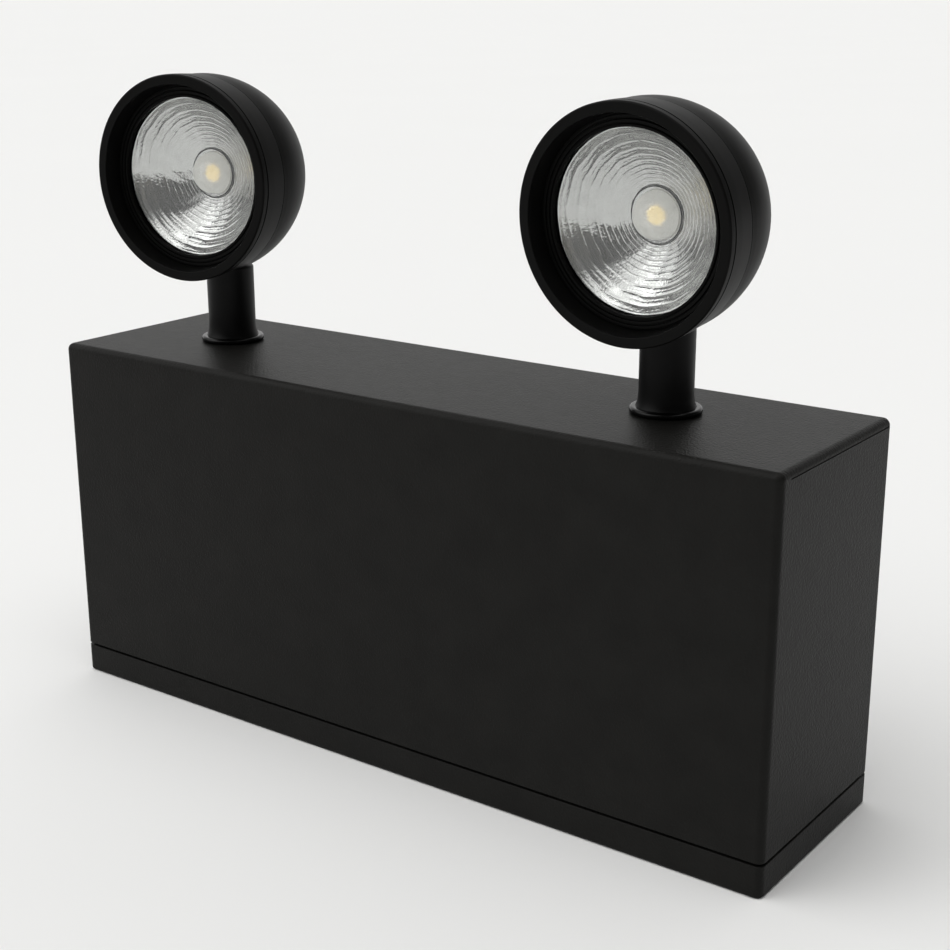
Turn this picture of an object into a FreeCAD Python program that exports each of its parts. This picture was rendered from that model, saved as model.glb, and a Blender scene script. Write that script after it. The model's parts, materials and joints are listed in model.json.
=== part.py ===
import FreeCAD, Part
import math
import os

import Sketcher

# Twin-head emergency light: a sheet-steel battery box with two swivelling lamp heads on its top.
#
# Millimetres. +X runs to the right along the box, the front faces -Y, +Z is up, and the origin is on the
# underside, below the middle of the box. Every size is a cell of the spreadsheet "Sizes". A Size in this
# script knows both the cell's number and the formula that binds a feature to it.

SIZES = {
    # box
    "box_width": 300.0,
    "box_depth": 78.2,
    "box_height": 134.6,
    "sheet": 1.5,
    "bend_radius": 2.5,
    "seam_drop": 2.6,
    "seam_width": 0.4,
    "seam_depth": 0.45,
    "seam_setback": 5.8,
    "rear_flange": 12.0,
    # tray
    "rim_height": 11.0,
    "shadow_gap": 1.0,
    "rim_wall": 3.4,
    "lip_setback": 1.8,
    "lip_rise": 6.0,
    "tray_floor": 2.0,
    "tray_chamfer": 0.8,
    "post_radius": 5.0,
    "post_inset": 10.0,
    "tab_size": 16.0,
    "boss_height": 4.0,
    "sink_clearance": 0.8,
    # fits
    "running_fit": 0.05,
    "slack": 0.3,
    # stems
    "stem_left_x": -102.5,
    "stem_right_x": 88.4,
    "stem_y": 3.25,
    "stem_radius": 8.9,
    "stem_foot_radius": 9.8,
    "stem_foot_height": 7.0,
    "stem_bore": 4.0,
    "spigot_radius": 6.5,
    "thread_length": 9.0,
    "collar_radius": 11.8,
    "collar_height": 2.1,
    "collar_round": 0.9,
    "nut_flats": 19.0,
    "nut_height": 5.0,
    "washer_radius": 10.5,
    "washer_height": 1.0,
    # knuckle at the top of each stem
    "pivot_rise": 34.4,
    "shoulder_drop": 5.2,
    "tongue_half": 4.0,
    "tongue_radius": 4.7,
    "ear_radius": 4.4,
    "ear_thickness": 1.8,
    "pin_radius": 2.6,
    "pin_bore": 1.6,
    "pin_head_radius": 3.6,
    "pin_head_height": 0.8,
    # heads
    "yaw_left": 8.2,
    "yaw_right": -1.0,
    "tilt_left": -0.8,
    "tilt_right": -3.9,
    "tilt_down": 20.0,
    "tilt_up": 60.0,
    "head_rise": 29.84,
    "head_reach": 27.75,
    "ring_radius": 36.95,
    "ring_land": 3.5,
    "ring_round": 0.7,
    "ring_spigot": 1.4,
    "groove_at": 2.6,
    "groove_width": 0.5,
    "groove_depth": 0.4,
    "shell_radius": 36.25,
    "shell_wall": 2.0,
    "seam_at": 13.95,
    "shell_straight": 2.5,
    "recess_depth": 7.7,
    "recess_draft": 0.6,
    "retainer_lap": 3.5,
    "retainer_height": 1.4,
    "ridge_width": 0.8,
    "ridge_height": 0.7,
    "lens_radius": 32.0,
    "lens_thickness": 1.8,
    "bowl_rim_lap": 3.7,
    "bowl_lip_width": 0.7,
    "bowl_neck": 9.1,
    "bowl_depth": 12.0,
    "bowl_wall": 0.8,
    "carrier_radius": 19.0,
    "carrier_plate": 2.0,
    "boss_circle": 30.3,
    "boss_radius": 1.7,
    "board_radius": 14.0,
    "board_thickness": 1.6,
    "dome_radius": 7.6,
    "emitter_radius": 2.1,
    "emitter_height": 0.5,
    "fin_height": 10.0,
    "fin_thickness": 1.2,
    "fin_pitch": 5.0,
    "fin_reach": 15.5,
    "lead_radius": 1.2,
    "lead_x": 10.0,
    "lead_drop": 7.0,
    "yoke_width": 35.0,
    "yoke_depth": 9.0,
    "yoke_plate": 2.0,
    "yoke_above_pivot": 6.6,
    "yoke_boss_x": 14.5,
    "yoke_boss_radius": 2.7,
    # rear panel
    "fixing_spacing_x": 240.0,
    "fixing_spacing_z": 70.0,
    "fixing_radius": 2.5,
    "fixing_middle_z": 76.0,
    "inlet_x": 96.0,
    "inlet_z": 44.0,
    "inlet_radius": 7.0,
    "grommet_bore": 4.0,
    "grommet_flange": 2.0,
    "grommet_flange_depth": 1.5,
    # battery
    "battery_x": -35.0,
    "battery_length": 151.0,
    "battery_depth": 64.0,
    "battery_height": 94.0,
    "battery_lid": 12.0,
    "strap_width": 20.0,
    "strap_sheet": 1.5,
    "strap_toe": 14.0,
    "terminal_inset": 16.0,
    "terminal_y": 22.0,
    "terminal_width": 6.3,
    "terminal_thickness": 0.8,
    "terminal_height": 8.0,
    "terminal_well_width": 16.0,
    "terminal_well_depth": 14.0,
    # electronics
    "circuit_x": 98.0,
    "circuit_z": 86.0,
    "circuit_width": 78.0,
    "circuit_height": 62.0,
    "standoff_height": 5.0,
    "core_x": 98.0,
    "core_length": 54.0,
    "core_depth": 30.0,
    "core_height": 42.0,
    "coil_margin": 7.0,
    "coil_overhang": 7.0,
    "core_flange": 2.0,
    "core_screw_inset": 5.5,
    "circuit_screw_inset": 4.0,
    "standoff_radius": 3.0,
    "can_radius": 6.25,
    "can_height": 20.0,
    "can_rise": 12.0,
    "strip_length": 40.0,
    "strip_depth": 11.0,
    "strip_height": 12.0,
    "strip_aside": 10.0,
    "strip_drop": 20.0,
    "way_radius": 1.9,
    "way_pitch": 8.0,
    "way_rise": 2.0,
    "way_depth": 3.0,
    # test switch and charge light on the left side
    "switch_y": 0.0,
    "switch_z": 84.0,
    "switch_bush": 6.0,
    "switch_bezel": 8.5,
    "button_radius": 4.2,
    "button_travel": 1.6,
    "button_proud": 0.4,
    "button_skirt": 5.0,
    "stalk_radius": 1.5,
    "stalk_length": 2.0,
    "bezel_height": 1.2,
    "bush_reach": 6.0,
    "switch_body_length": 14.0,
    "switch_body_width": 13.0,
    "lug_length": 5.0,
    "lug_thickness": 0.8,
    "lug_height": 2.4,
    "lug_offset": 3.5,
    "indicator_z": 106.0,
    "indicator_radius": 3.0,
    "indicator_length": 8.0,
    "indicator_flange": 0.9,
    "indicator_flange_depth": 0.8,
    "indicator_crown": 1.6,
    # screws
    "screw_radius": 1.5,
    "screw_head_radius": 2.8,
    "screw_head_height": 1.2,
    "small_screw_radius": 1.0,
    "small_head_radius": 1.7,
    "small_head_height": 1.0,
    "panel_screw_length": 6.0,
    "carrier_screw_length": 6.0,
    "yoke_screw_length": 5.0,
}


class Size:
    """A length or an angle: its number, and the spreadsheet formula it comes from."""

    def __init__(self, number, formula):
        self.number = float(number)
        self.formula = formula

    def __add__(self, other):
        other = as_size(other)
        return Size(self.number + other.number, f"({self.formula} + {other.formula})")

    def __sub__(self, other):
        other = as_size(other)
        return Size(self.number - other.number, f"({self.formula} - {other.formula})")

    def __mul__(self, other):
        other = as_size(other)
        return Size(self.number * other.number, f"({self.formula} * {other.formula})")

    def __truediv__(self, other):
        other = as_size(other)
        return Size(self.number / other.number, f"({self.formula} / {other.formula})")

    def __radd__(self, other):
        return as_size(other) + self

    def __rsub__(self, other):
        return as_size(other) - self

    def __rmul__(self, other):
        return as_size(other) * self

    def __neg__(self):
        return Size(-self.number, f"(0 - {self.formula})")


def as_size(value):
    """A Size as it is, or a bare number as a Size whose formula is that number."""
    if isinstance(value, Size):
        return value
    return Size(value, repr(float(value)))


def root(value):
    """The square root of a Size."""
    return Size(math.sqrt(value.number), f"sqrt({value.formula})")


def write_sheet(doc):
    """Put every size in the spreadsheet and give back the table of Size values by name."""
    sheet = doc.addObject("Spreadsheet::Sheet", "Sizes")
    table = {}
    for row, (name, number) in enumerate(SIZES.items(), start=1):
        sheet.set(f"A{row}", name)
        sheet.set(f"B{row}", repr(number))
        sheet.setAlias(f"B{row}", name)
        table[name] = Size(number, f"Sizes.{name}")
    doc.recompute()
    return table


doc = FreeCAD.newDocument("emergency_light")
size = write_sheet(doc)
nodes = []

# Sizes that follow from the driving ones.
HALF_WIDTH = size["box_width"] / 2
HALF_DEPTH = size["box_depth"] / 2
HOOD_FOOT = size["rim_height"] + size["shadow_gap"]
HOOD_CEILING = size["box_height"] - size["sheet"]
LIP_TOP = size["rim_height"] + size["lip_rise"]
POST_TOP = LIP_TOP + 1.0
PANEL_BACK = HALF_DEPTH - size["sheet"]
PANEL_FRONT = PANEL_BACK - size["sheet"]
COLLAR_TOP = size["box_height"] + size["collar_height"]
PIVOT_Z = size["box_height"] + size["pivot_rise"]
POST_X = HALF_WIDTH - size["post_inset"]
POST_Y = HALF_DEPTH - size["post_inset"]
LENS_BACK = size["recess_depth"] + size["lens_thickness"]
BOWL_BOTTOM = LENS_BACK + size["bowl_depth"]
CARRIER_FRONT = BOWL_BOTTOM + size["board_thickness"]
CARRIER_BACK = CARRIER_FRONT + size["carrier_plate"]
DOME_CENTRE = size["seam_at"] + size["shell_straight"]
RETAINER_BORE = size["lens_radius"] - size["retainer_lap"]
BOWL_RIM = size["lens_radius"] - size["bowl_rim_lap"]
BOWL_LIP = BOWL_RIM + size["bowl_lip_width"]
SINK_DEPTH = size["screw_head_height"] + size["sink_clearance"]
BOSS_ANGLES = (90, 210, 330)
SHELL_INNER = size["shell_radius"] - size["shell_wall"]
STEM_X = {"left": size["stem_left_x"], "right": size["stem_right_x"]}
SIDE_FACE = -HALF_WIDTH


# ---------------------------------------------------------------- binding helpers


def bind(target, path, value):
    """Bind a property to a Size's formula, when the formula names a cell."""
    value = as_size(value)
    if "Sizes." in value.formula:
        target.setExpression(path, value.formula)


def put(target, at):
    """Bind a Placement's base to three sizes."""
    for axis, value in zip("xyz", at):
        value = as_size(value)
        if "Sizes." in value.formula:
            bind(target, f"Placement.Base.{axis}", value)
    target.Placement.Base = FreeCAD.Vector(*(as_size(v).number for v in at))


TURN = {
    "+Z": FreeCAD.Rotation(),
    "-Z": FreeCAD.Rotation(FreeCAD.Vector(1, 0, 0), 180),
    "+Y": FreeCAD.Rotation(FreeCAD.Vector(1, 0, 0), -90),
    "-Y": FreeCAD.Rotation(FreeCAD.Vector(1, 0, 0), 90),
    "+X": FreeCAD.Rotation(FreeCAD.Vector(0, 1, 0), 90),
    "-X": FreeCAD.Rotation(FreeCAD.Vector(0, 1, 0), -90),
}
count = {"made": 0}


def fresh(kind):
    """A new document object with a name of its own."""
    count["made"] += 1
    return doc.addObject(kind, f"piece_{count['made']:03d}")


def cylinder(radius, height, at=(0, 0, 0), along="+Z"):
    """A Part cylinder that starts at a point and runs along an axis."""
    made = fresh("Part::Cylinder")
    made.Radius = as_size(radius).number
    made.Height = as_size(height).number
    bind(made, "Radius", radius)
    bind(made, "Height", height)
    made.Placement.Rotation = TURN[along]
    put(made, at)
    return made


def block(lengths, at):
    """A Part box from its lowest corner."""
    made = fresh("Part::Box")
    for side, length in zip(("Length", "Width", "Height"), lengths):
        setattr(made, side, as_size(length).number)
        bind(made, side, length)
    put(made, at)
    return made


def centred_block(lengths, centre):
    """A Part box about its centre."""
    corner = [as_size(c) - as_size(l) / 2 for c, l in zip(centre, lengths)]
    return block(lengths, corner)


def ball(radius, at):
    """A Part sphere."""
    made = fresh("Part::Sphere")
    made.Radius = as_size(radius).number
    bind(made, "Radius", radius)
    put(made, at)
    return made


def hexagon(flats, height, at):
    """A Part prism with six sides, given across its flats."""
    made = fresh("Part::Prism")
    made.Polygon = 6
    corner = as_size(flats) / math.sqrt(3)
    made.Circumradius = corner.number
    made.Height = as_size(height).number
    bind(made, "Circumradius", corner)
    bind(made, "Height", height)
    put(made, at)
    return made


def fuse(*pieces):
    """Several pieces in one shape. Pieces that don't touch stay separate solids."""
    made = fresh("Part::MultiFuse")
    made.Shapes = list(pieces)
    return made


def wrapped(piece):
    """A piece inside a compound, which can be turned and placed without touching the piece's own sizes."""
    made = fresh("Part::Compound")
    made.Links = [piece]
    return made


def cut(base, *tools):
    """A piece with tools taken out of it."""
    made = fresh("Part::Cut")
    made.Base = base
    made.Tool = tools[0] if len(tools) == 1 else fuse(*tools)
    return made


def common(base, tool):
    """What two pieces share."""
    made = fresh("Part::MultiCommon")
    made.Shapes = [base, tool]
    return made


def screw(at, along, length, kind="screw"):
    """A pan-head screw: the head lies on the seat at the point, the shank runs along the axis."""
    radius, head, height = (
        (size["screw_radius"], size["screw_head_radius"], size["screw_head_height"])
        if kind == "screw"
        else (size["small_screw_radius"], size["small_head_radius"], size["small_head_height"])
    )
    back = {"+": "-", "-": "+"}[along[0]] + along[1]
    slot_at = list(at)
    step = height if back[0] == "+" else -height
    slot_at["XYZ".index(along[1])] = as_size(slot_at["XYZ".index(along[1])]) + step
    head_piece = cut(cylinder(head, height, at, back), cylinder(head * 0.45, height * 0.5, slot_at, along))
    return fuse(head_piece, cylinder(radius, length, at, along))


def keep(made, label, placement=None):
    """Name a finished sub-part, and set it in place."""
    made.Label = label
    if placement is not None:
        made.Placement = placement
    nodes.append(made)
    return made


# ---------------------------------------------------------------- sketch helpers


class Bodywork:
    """A PartDesign body and the short calls that sketch and cut on it."""

    def __init__(self, label):
        self.body = doc.addObject("PartDesign::Body", f"body_{label}")
        self.body.Label = label
        self.count = 0
        nodes.append(self.body)

    def sketch(self, plane, offset=0.0):
        """A sketch on one of the body's own planes, moved along that plane's normal."""
        self.count += 1
        drawn = self.body.newObject("Sketcher::SketchObject", f"{self.body.Name}_sketch_{self.count}")
        face = next(f for f in self.body.Origin.OriginFeatures if f.Role == plane)
        drawn.AttachmentSupport = [(face, "")]
        drawn.MapMode = "FlatFace"
        offset = as_size(offset)
        drawn.AttachmentOffset = FreeCAD.Placement(FreeCAD.Vector(0, 0, offset.number), FreeCAD.Rotation())
        bind(drawn, "AttachmentOffset.Base.z", offset)
        return drawn

    def feature(self, kind, drawn, **settings):
        """A feature on a sketch, such as a Pad, with its sizes bound."""
        self.count += 1
        made = self.body.newObject(f"PartDesign::{kind}", f"{self.body.Name}_{kind.lower()}_{self.count}")
        made.Profile = drawn
        for name, value in settings.items():
            if isinstance(value, Size):
                setattr(made, name, value.number)
                bind(made, name, value)
            else:
                setattr(made, name, value)
        drawn.Visibility = False
        doc.recompute()
        return made

    def pad(self, drawn, length, back=False):
        """Add material from the sketch."""
        return self.feature("Pad", drawn, Length=as_size(length), Reversed=back)

    def pocket(self, drawn, length, back=False):
        """Take material away behind the sketch, or before it when back is true; it has to cut something."""
        before = self.body.Shape.Volume
        made = self.feature("Pocket", drawn, Length=as_size(length), Reversed=back)
        if not self.body.Shape.Volume < before - 1e-6:
            raise RuntimeError(f"{made.Name} cuts nothing")
        return made

    def spin(self, drawn):
        """Turn the sketch once about its vertical axis."""
        return self.feature("Revolution", drawn, ReferenceAxis=(drawn, ["V_Axis"]), Angle=360.0)

    def edge_work(self, kind, amount, test):
        """Fillet or chamfer the edges of the tip that pass a test."""
        tip = self.body.Tip
        names = [f"Edge{i}" for i, edge in enumerate(tip.Shape.Edges, start=1) if test(edge)]
        if not names:
            raise RuntimeError(f"{self.body.Label} has no edge for its {kind}")
        self.count += 1
        made = self.body.newObject(f"PartDesign::{kind}", f"{self.body.Name}_{kind.lower()}_{self.count}")
        made.Base = (tip, names)
        field = "Radius" if kind == "Fillet" else "Size"
        setattr(made, field, as_size(amount).number)
        bind(made, field, amount)
        doc.recompute()
        return made


def hold(drawn, kind, places, value):
    """Add a dimension to a sketch and bind it."""
    value = as_size(value)
    index = drawn.addConstraint(Sketcher.Constraint(kind, *places, value.number))
    if "Sizes." in value.formula:
        drawn.setExpression(f"Constraints[{index}]", value.formula)


ORIGIN = (-1, 1)


def point_at(drawn, place, at):
    """Fix a sketch point at two sizes from the origin."""
    hold(drawn, "DistanceX", (*ORIGIN, *place), at[0])
    hold(drawn, "DistanceY", (*ORIGIN, *place), at[1])


def outline(drawn, corners):
    """A closed run of straight lines through corners given as pairs of sizes."""
    spots = [FreeCAD.Vector(as_size(a).number, as_size(b).number, 0) for a, b in corners]
    first = drawn.GeometryCount
    total = len(spots)
    for i in range(total):
        drawn.addGeometry(Part.LineSegment(spots[i], spots[(i + 1) % total]), False)
    for i in range(total):
        drawn.addConstraint(Sketcher.Constraint("Coincident", first + i, 2, first + (i + 1) % total, 1))
    for i, corner in enumerate(corners):
        point_at(drawn, (first + i, 1), corner)


def rectangle(drawn, width, height, centre=(0.0, 0.0)):
    """A rectangle about a centre."""
    left = centre[0] - as_size(width) / 2
    right = centre[0] + as_size(width) / 2
    low = centre[1] - as_size(height) / 2
    high = centre[1] + as_size(height) / 2
    outline(drawn, [(left, low), (right, low), (right, high), (left, high)])


def circle(drawn, radius, centre=(0.0, 0.0)):
    """A circle about a centre."""
    middle = FreeCAD.Vector(as_size(centre[0]).number, as_size(centre[1]).number, 0)
    index = drawn.addGeometry(Part.Circle(middle, FreeCAD.Vector(0, 0, 1), as_size(radius).number), False)
    hold(drawn, "Radius", (index,), radius)
    point_at(drawn, (index, 3), centre)


def near(a, b):
    """Whether two numbers are the same to a hundredth of a millimetre."""
    return abs(a - b) < 0.01


def upright(edge):
    """Whether an edge is a straight vertical line."""
    box = edge.BoundBox
    return box.ZLength > 0.1 and box.XLength < 0.001 and box.YLength < 0.001


def level_at(height):
    """A test for edges that lie at one height."""
    return lambda edge: near(edge.BoundBox.ZMin, height.number) and near(edge.BoundBox.ZMax, height.number)


# ---------------------------------------------------------------- box


def make_hood():
    """The folded cover: front, top, sides, and a rear frame that the back panel closes."""
    work = Bodywork("hood_shell")
    floor = work.sketch("XY_Plane", HOOD_FOOT)
    rectangle(floor, size["box_width"], size["box_depth"])
    work.pad(floor, size["box_height"] - HOOD_FOOT)
    top = size["box_height"]
    work.edge_work("Fillet", size["bend_radius"], lambda e: upright(e) or level_at(top)(e))

    inside = work.sketch("XY_Plane", HOOD_FOOT)
    rectangle(inside, size["box_width"] - 2 * size["sheet"], size["box_depth"] - 2 * size["sheet"])
    work.pocket(inside, HOOD_CEILING - HOOD_FOOT, back=True)

    opening = work.sketch("XZ_Plane", -(HALF_DEPTH + 1.0))
    low = LIP_TOP + size["rear_flange"]
    high = HOOD_CEILING - size["rear_flange"]
    width = size["box_width"] - 2 * size["sheet"] - 2 * size["rear_flange"]
    rectangle(opening, width, high - low, (0.0, (low + high) / 2))
    work.pocket(opening, size["sheet"] + 1.5, back=True)

    stems = work.sketch("XY_Plane", top)
    for x in STEM_X.values():
        circle(stems, size["spigot_radius"] + size["running_fit"], (x, size["stem_y"]))
    work.pocket(stems, size["sheet"] + 1.0)

    side = work.sketch("YZ_Plane", SIDE_FACE)
    circle(side, size["switch_bush"] + size["running_fit"], (size["switch_y"], size["switch_z"]))
    circle(side, size["indicator_radius"] + size["running_fit"], (size["switch_y"], size["indicator_z"]))
    work.pocket(side, size["sheet"] + 1.0, back=True)

    # The seam where the top's edge is folded over each side.
    seam_length = size["box_depth"] - size["seam_setback"] - size["bend_radius"]
    seam_middle = HALF_DEPTH - size["bend_radius"] - seam_length / 2
    for face, back in ((HALF_WIDTH, False), (SIDE_FACE, True)):
        groove = work.sketch("YZ_Plane", face)
        height = top - size["seam_drop"]
        rectangle(groove, seam_length, size["seam_width"], (seam_middle, height))
        work.pocket(groove, size["seam_depth"], back=back)

    # Four tapped tabs in the lower corners take the screws that come up through the tray.
    tabs = work.sketch("XY_Plane", POST_TOP)
    reach = size["tab_size"]
    for sx in (-1, 1):
        for sy in (-1, 1):
            x = (HALF_WIDTH - size["sheet"] - reach / 2) * sx
            y = (HALF_DEPTH - size["sheet"] - reach / 2) * sy
            rectangle(tabs, reach, reach, (x, y))
            circle(tabs, size["screw_radius"] + size["running_fit"], (POST_X * sx, POST_Y * sy))
    work.pad(tabs, size["sheet"])

    # The rear frame's screw holes.
    holes = work.sketch("XZ_Plane", -(HALF_DEPTH + 1.0))
    for x, z in panel_screws():
        circle(holes, size["screw_radius"] + size["slack"], (x, z))
    work.pocket(holes, size["sheet"] + 1.5, back=True)


def panel_screws():
    """Where the back panel's screws are: pairs of x and z on the hood's rear frame."""
    edge_x = HALF_WIDTH - size["sheet"] - size["rear_flange"] / 2
    low = LIP_TOP + size["rear_flange"]
    high = HOOD_CEILING - size["rear_flange"] / 2
    spots = [(edge_x * s, z) for s in (-1, 1) for z in (low + 6.0, high - 6.0)]
    spots += [(edge_x * 0.35 * s, high) for s in (-1, 1)]
    return spots


def make_tray():
    """The tray: a low rim flush with the hood, a lip that stands inside it, and bosses for screws."""
    work = Bodywork("base_tray")
    base = work.sketch("XY_Plane")
    rectangle(base, size["box_width"], size["box_depth"])
    work.pad(base, size["rim_height"])
    work.edge_work("Fillet", size["bend_radius"], upright)
    work.edge_work("Chamfer", size["tray_chamfer"], level_at(as_size(0.0)))
    work.edge_work("Fillet", size["slack"], level_at(size["rim_height"]))

    lip = work.sketch("XY_Plane", size["rim_height"])
    rectangle(lip, size["box_width"] - 2 * size["lip_setback"], size["box_depth"] - 2 * size["lip_setback"])
    work.pad(lip, size["lip_rise"])
    hollow = work.sketch("XY_Plane", LIP_TOP)
    rectangle(hollow, size["box_width"] - 2 * size["rim_wall"], size["box_depth"] - 2 * size["rim_wall"])
    work.pocket(hollow, LIP_TOP - size["tray_floor"])

    posts = work.sketch("XY_Plane", size["tray_floor"])
    for sx in (-1, 1):
        for sy in (-1, 1):
            circle(posts, size["post_radius"], (POST_X * sx, POST_Y * sy))
    work.pad(posts, POST_TOP - size["tray_floor"])
    bosses = work.sketch("XY_Plane", size["tray_floor"])
    for x, y in boss_places():
        circle(bosses, size["post_radius"], (x, y))
    work.pad(bosses, size["boss_height"])

    through = work.sketch("XY_Plane")
    for sx in (-1, 1):
        for sy in (-1, 1):
            circle(through, size["screw_radius"] + size["slack"], (POST_X * sx, POST_Y * sy))
    work.pocket(through, POST_TOP + 1.0, back=True)
    sinks = work.sketch("XY_Plane")
    for sx in (-1, 1):
        for sy in (-1, 1):
            circle(sinks, size["screw_head_radius"] + size["slack"], (POST_X * sx, POST_Y * sy))
    work.pocket(sinks, SINK_DEPTH, back=True)
    taps = work.sketch("XY_Plane", size["tray_floor"] + size["boss_height"])
    for x, y in boss_places():
        circle(taps, size["screw_radius"] + size["running_fit"], (x, y))
    work.pocket(taps, size["boss_height"])


def strap_boss_x():
    """The distance of the strap's bosses from the battery's middle."""
    return size["battery_length"] / 2 + size["strap_sheet"] + size["strap_toe"] / 2


def transformer_boss_x():
    """The distance of the transformer's bosses from its middle."""
    return size["core_length"] / 2 - size["core_screw_inset"]


def boss_places():
    """Where the tray's bosses stand: two for the battery strap, two under the transformer."""
    places = [(size["battery_x"] + strap_boss_x() * s, as_size(0.0)) for s in (-1, 1)]
    places += [(size["core_x"] + transformer_boss_x() * s, as_size(0.0)) for s in (-1, 1)]
    return places


def make_back_panel():
    """The flat panel behind: it stands on the tray's lip and is screwed to the hood's rear frame."""
    work = Bodywork("back_panel")
    plate = work.sketch("XZ_Plane", -PANEL_BACK)
    low = LIP_TOP
    high = HOOD_CEILING - size["slack"]
    width = size["box_width"] - 2 * size["sheet"] - 2 * size["slack"]
    rectangle(plate, width, high - low, (0.0, (low + high) / 2))
    work.pad(plate, size["sheet"])
    holes = work.sketch("XZ_Plane", -(PANEL_BACK + 1.0))
    for x, z in fixing_places():
        circle(holes, size["fixing_radius"], (x, z))
    for x, z in panel_screws():
        circle(holes, size["screw_radius"] + size["running_fit"], (x, z))
    for x, z in standoff_places():
        circle(holes, size["screw_radius"] + size["running_fit"], (x, z))
    circle(holes, size["inlet_radius"] + size["running_fit"], (size["inlet_x"], size["inlet_z"]))
    work.pocket(holes, size["sheet"] + 2.0, back=True)

    # The lower corners are cut away around the tray's posts and the hood's tabs.
    corners = work.sketch("XZ_Plane", -(PANEL_BACK + 1.0))
    reach = size["tab_size"] + 1.0
    for s in (-1, 1):
        x = (HALF_WIDTH - size["sheet"] - reach / 2) * s
        rectangle(corners, reach, 2 * reach / 3, (x, LIP_TOP))
    work.pocket(corners, size["sheet"] + 2.0, back=True)


def fixing_places():
    """The wall-fixing holes: the corners of a rectangle."""
    middle = size["fixing_middle_z"]
    return [
        (size["fixing_spacing_x"] / 2 * sx, middle + size["fixing_spacing_z"] / 2 * sz)
        for sx in (-1, 1)
        for sz in (-1, 1)
    ]


def standoff_places():
    """The charger board's corner screws."""
    return [
        (size["circuit_x"] + (size["circuit_width"] / 2 - size["circuit_screw_inset"]) * sx,
         size["circuit_z"] + (size["circuit_height"] / 2 - size["circuit_screw_inset"]) * sz)
        for sx in (-1, 1)
        for sz in (-1, 1)
    ]


def make_box_screws():
    """The tray's screws from below, and the back panel's screws from behind."""
    length = POST_TOP - SINK_DEPTH + size["sheet"] + 3.0
    from_below = [
        screw((POST_X * sx, POST_Y * sy, SINK_DEPTH), "+Z", length) for sx in (-1, 1) for sy in (-1, 1)
    ]
    keep(fuse(*from_below), "base_screws")
    from_behind = [screw((x, HALF_DEPTH, z), "-Y", size["panel_screw_length"]) for x, z in panel_screws()]
    keep(fuse(*from_behind), "back_screws")


def make_grommet():
    """The rubber bush of the mains inlet: two flanges and a groove that holds the panel's edge."""
    flange = size["inlet_radius"] + size["grommet_flange"]
    deep = size["grommet_flange_depth"]
    at = (size["inlet_x"], PANEL_FRONT - deep, size["inlet_z"])
    outer = cylinder(size["inlet_radius"], size["sheet"] + 2 * deep, at, "+Y")
    inner_flange = cylinder(flange, deep, at, "+Y")
    behind = (size["inlet_x"], PANEL_BACK, size["inlet_z"])
    outer_flange = cylinder(flange, deep, behind, "+Y")
    start = (size["inlet_x"], PANEL_FRONT - 4.0, size["inlet_z"])
    bore = cylinder(size["grommet_bore"], as_size(12.0), start, "+Y")
    keep(cut(fuse(outer, inner_flange, outer_flange), bore), "cable_grommet")


# ---------------------------------------------------------------- battery and electronics


def make_battery():
    """The sealed battery on the tray's floor, its lid, its tabs, and the strap that holds it down."""
    x = size["battery_x"]
    floor = size["tray_floor"]
    length = size["battery_length"]
    depth = size["battery_depth"]
    case_height = size["battery_height"] - size["battery_lid"]
    keep(centred_block((length, depth, case_height), (x, 0.0, floor + case_height / 2)), "battery_case")

    lid_foot = floor + case_height
    lid = centred_block((length, depth, size["battery_lid"]), (x, 0.0, lid_foot + size["battery_lid"] / 2))
    well = size["battery_lid"] / 2
    lid_top = lid_foot + size["battery_lid"]
    y = size["terminal_y"]
    opening = (size["terminal_well_width"], size["terminal_well_depth"], well)
    wells = [centred_block(opening, (x + tab_x(s), y, lid_top - well / 2)) for s in (-1, 1)]
    keep(cut(lid, *wells), "battery_lid")
    blade = (size["terminal_width"], size["terminal_thickness"], size["terminal_height"])
    tab_z = lid_top - well + size["terminal_height"] / 2
    tabs = [centred_block(blade, (x + tab_x(s), y, tab_z)) for s in (-1, 1)]
    keep(fuse(*tabs), "battery_terminals")

    sheet = size["strap_sheet"]
    top = floor + size["battery_height"]
    foot = floor + size["boss_height"]
    inner = length / 2
    outer = inner + sheet
    toe = outer + size["strap_toe"]
    work = Bodywork("battery_strap")
    side = work.sketch("XZ_Plane", -(size["strap_width"] / 2))
    outline(side, [
        (x - toe, foot), (x - inner, foot), (x - inner, top), (x + inner, top), (x + inner, foot),
        (x + toe, foot), (x + toe, foot + sheet), (x + outer, foot + sheet), (x + outer, top + sheet),
        (x - outer, top + sheet), (x - outer, foot + sheet), (x - toe, foot + sheet),
    ])
    work.pad(side, size["strap_width"])
    holes = work.sketch("XY_Plane", foot + sheet)
    for s in (-1, 1):
        circle(holes, size["screw_radius"] + size["slack"], (x + strap_boss_x() * s, 0.0))
    work.pocket(holes, sheet + 0.5)


def tab_x(side):
    """The battery's tabs, from its middle."""
    return (size["battery_length"] / 2 - size["terminal_inset"]) * side


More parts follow.
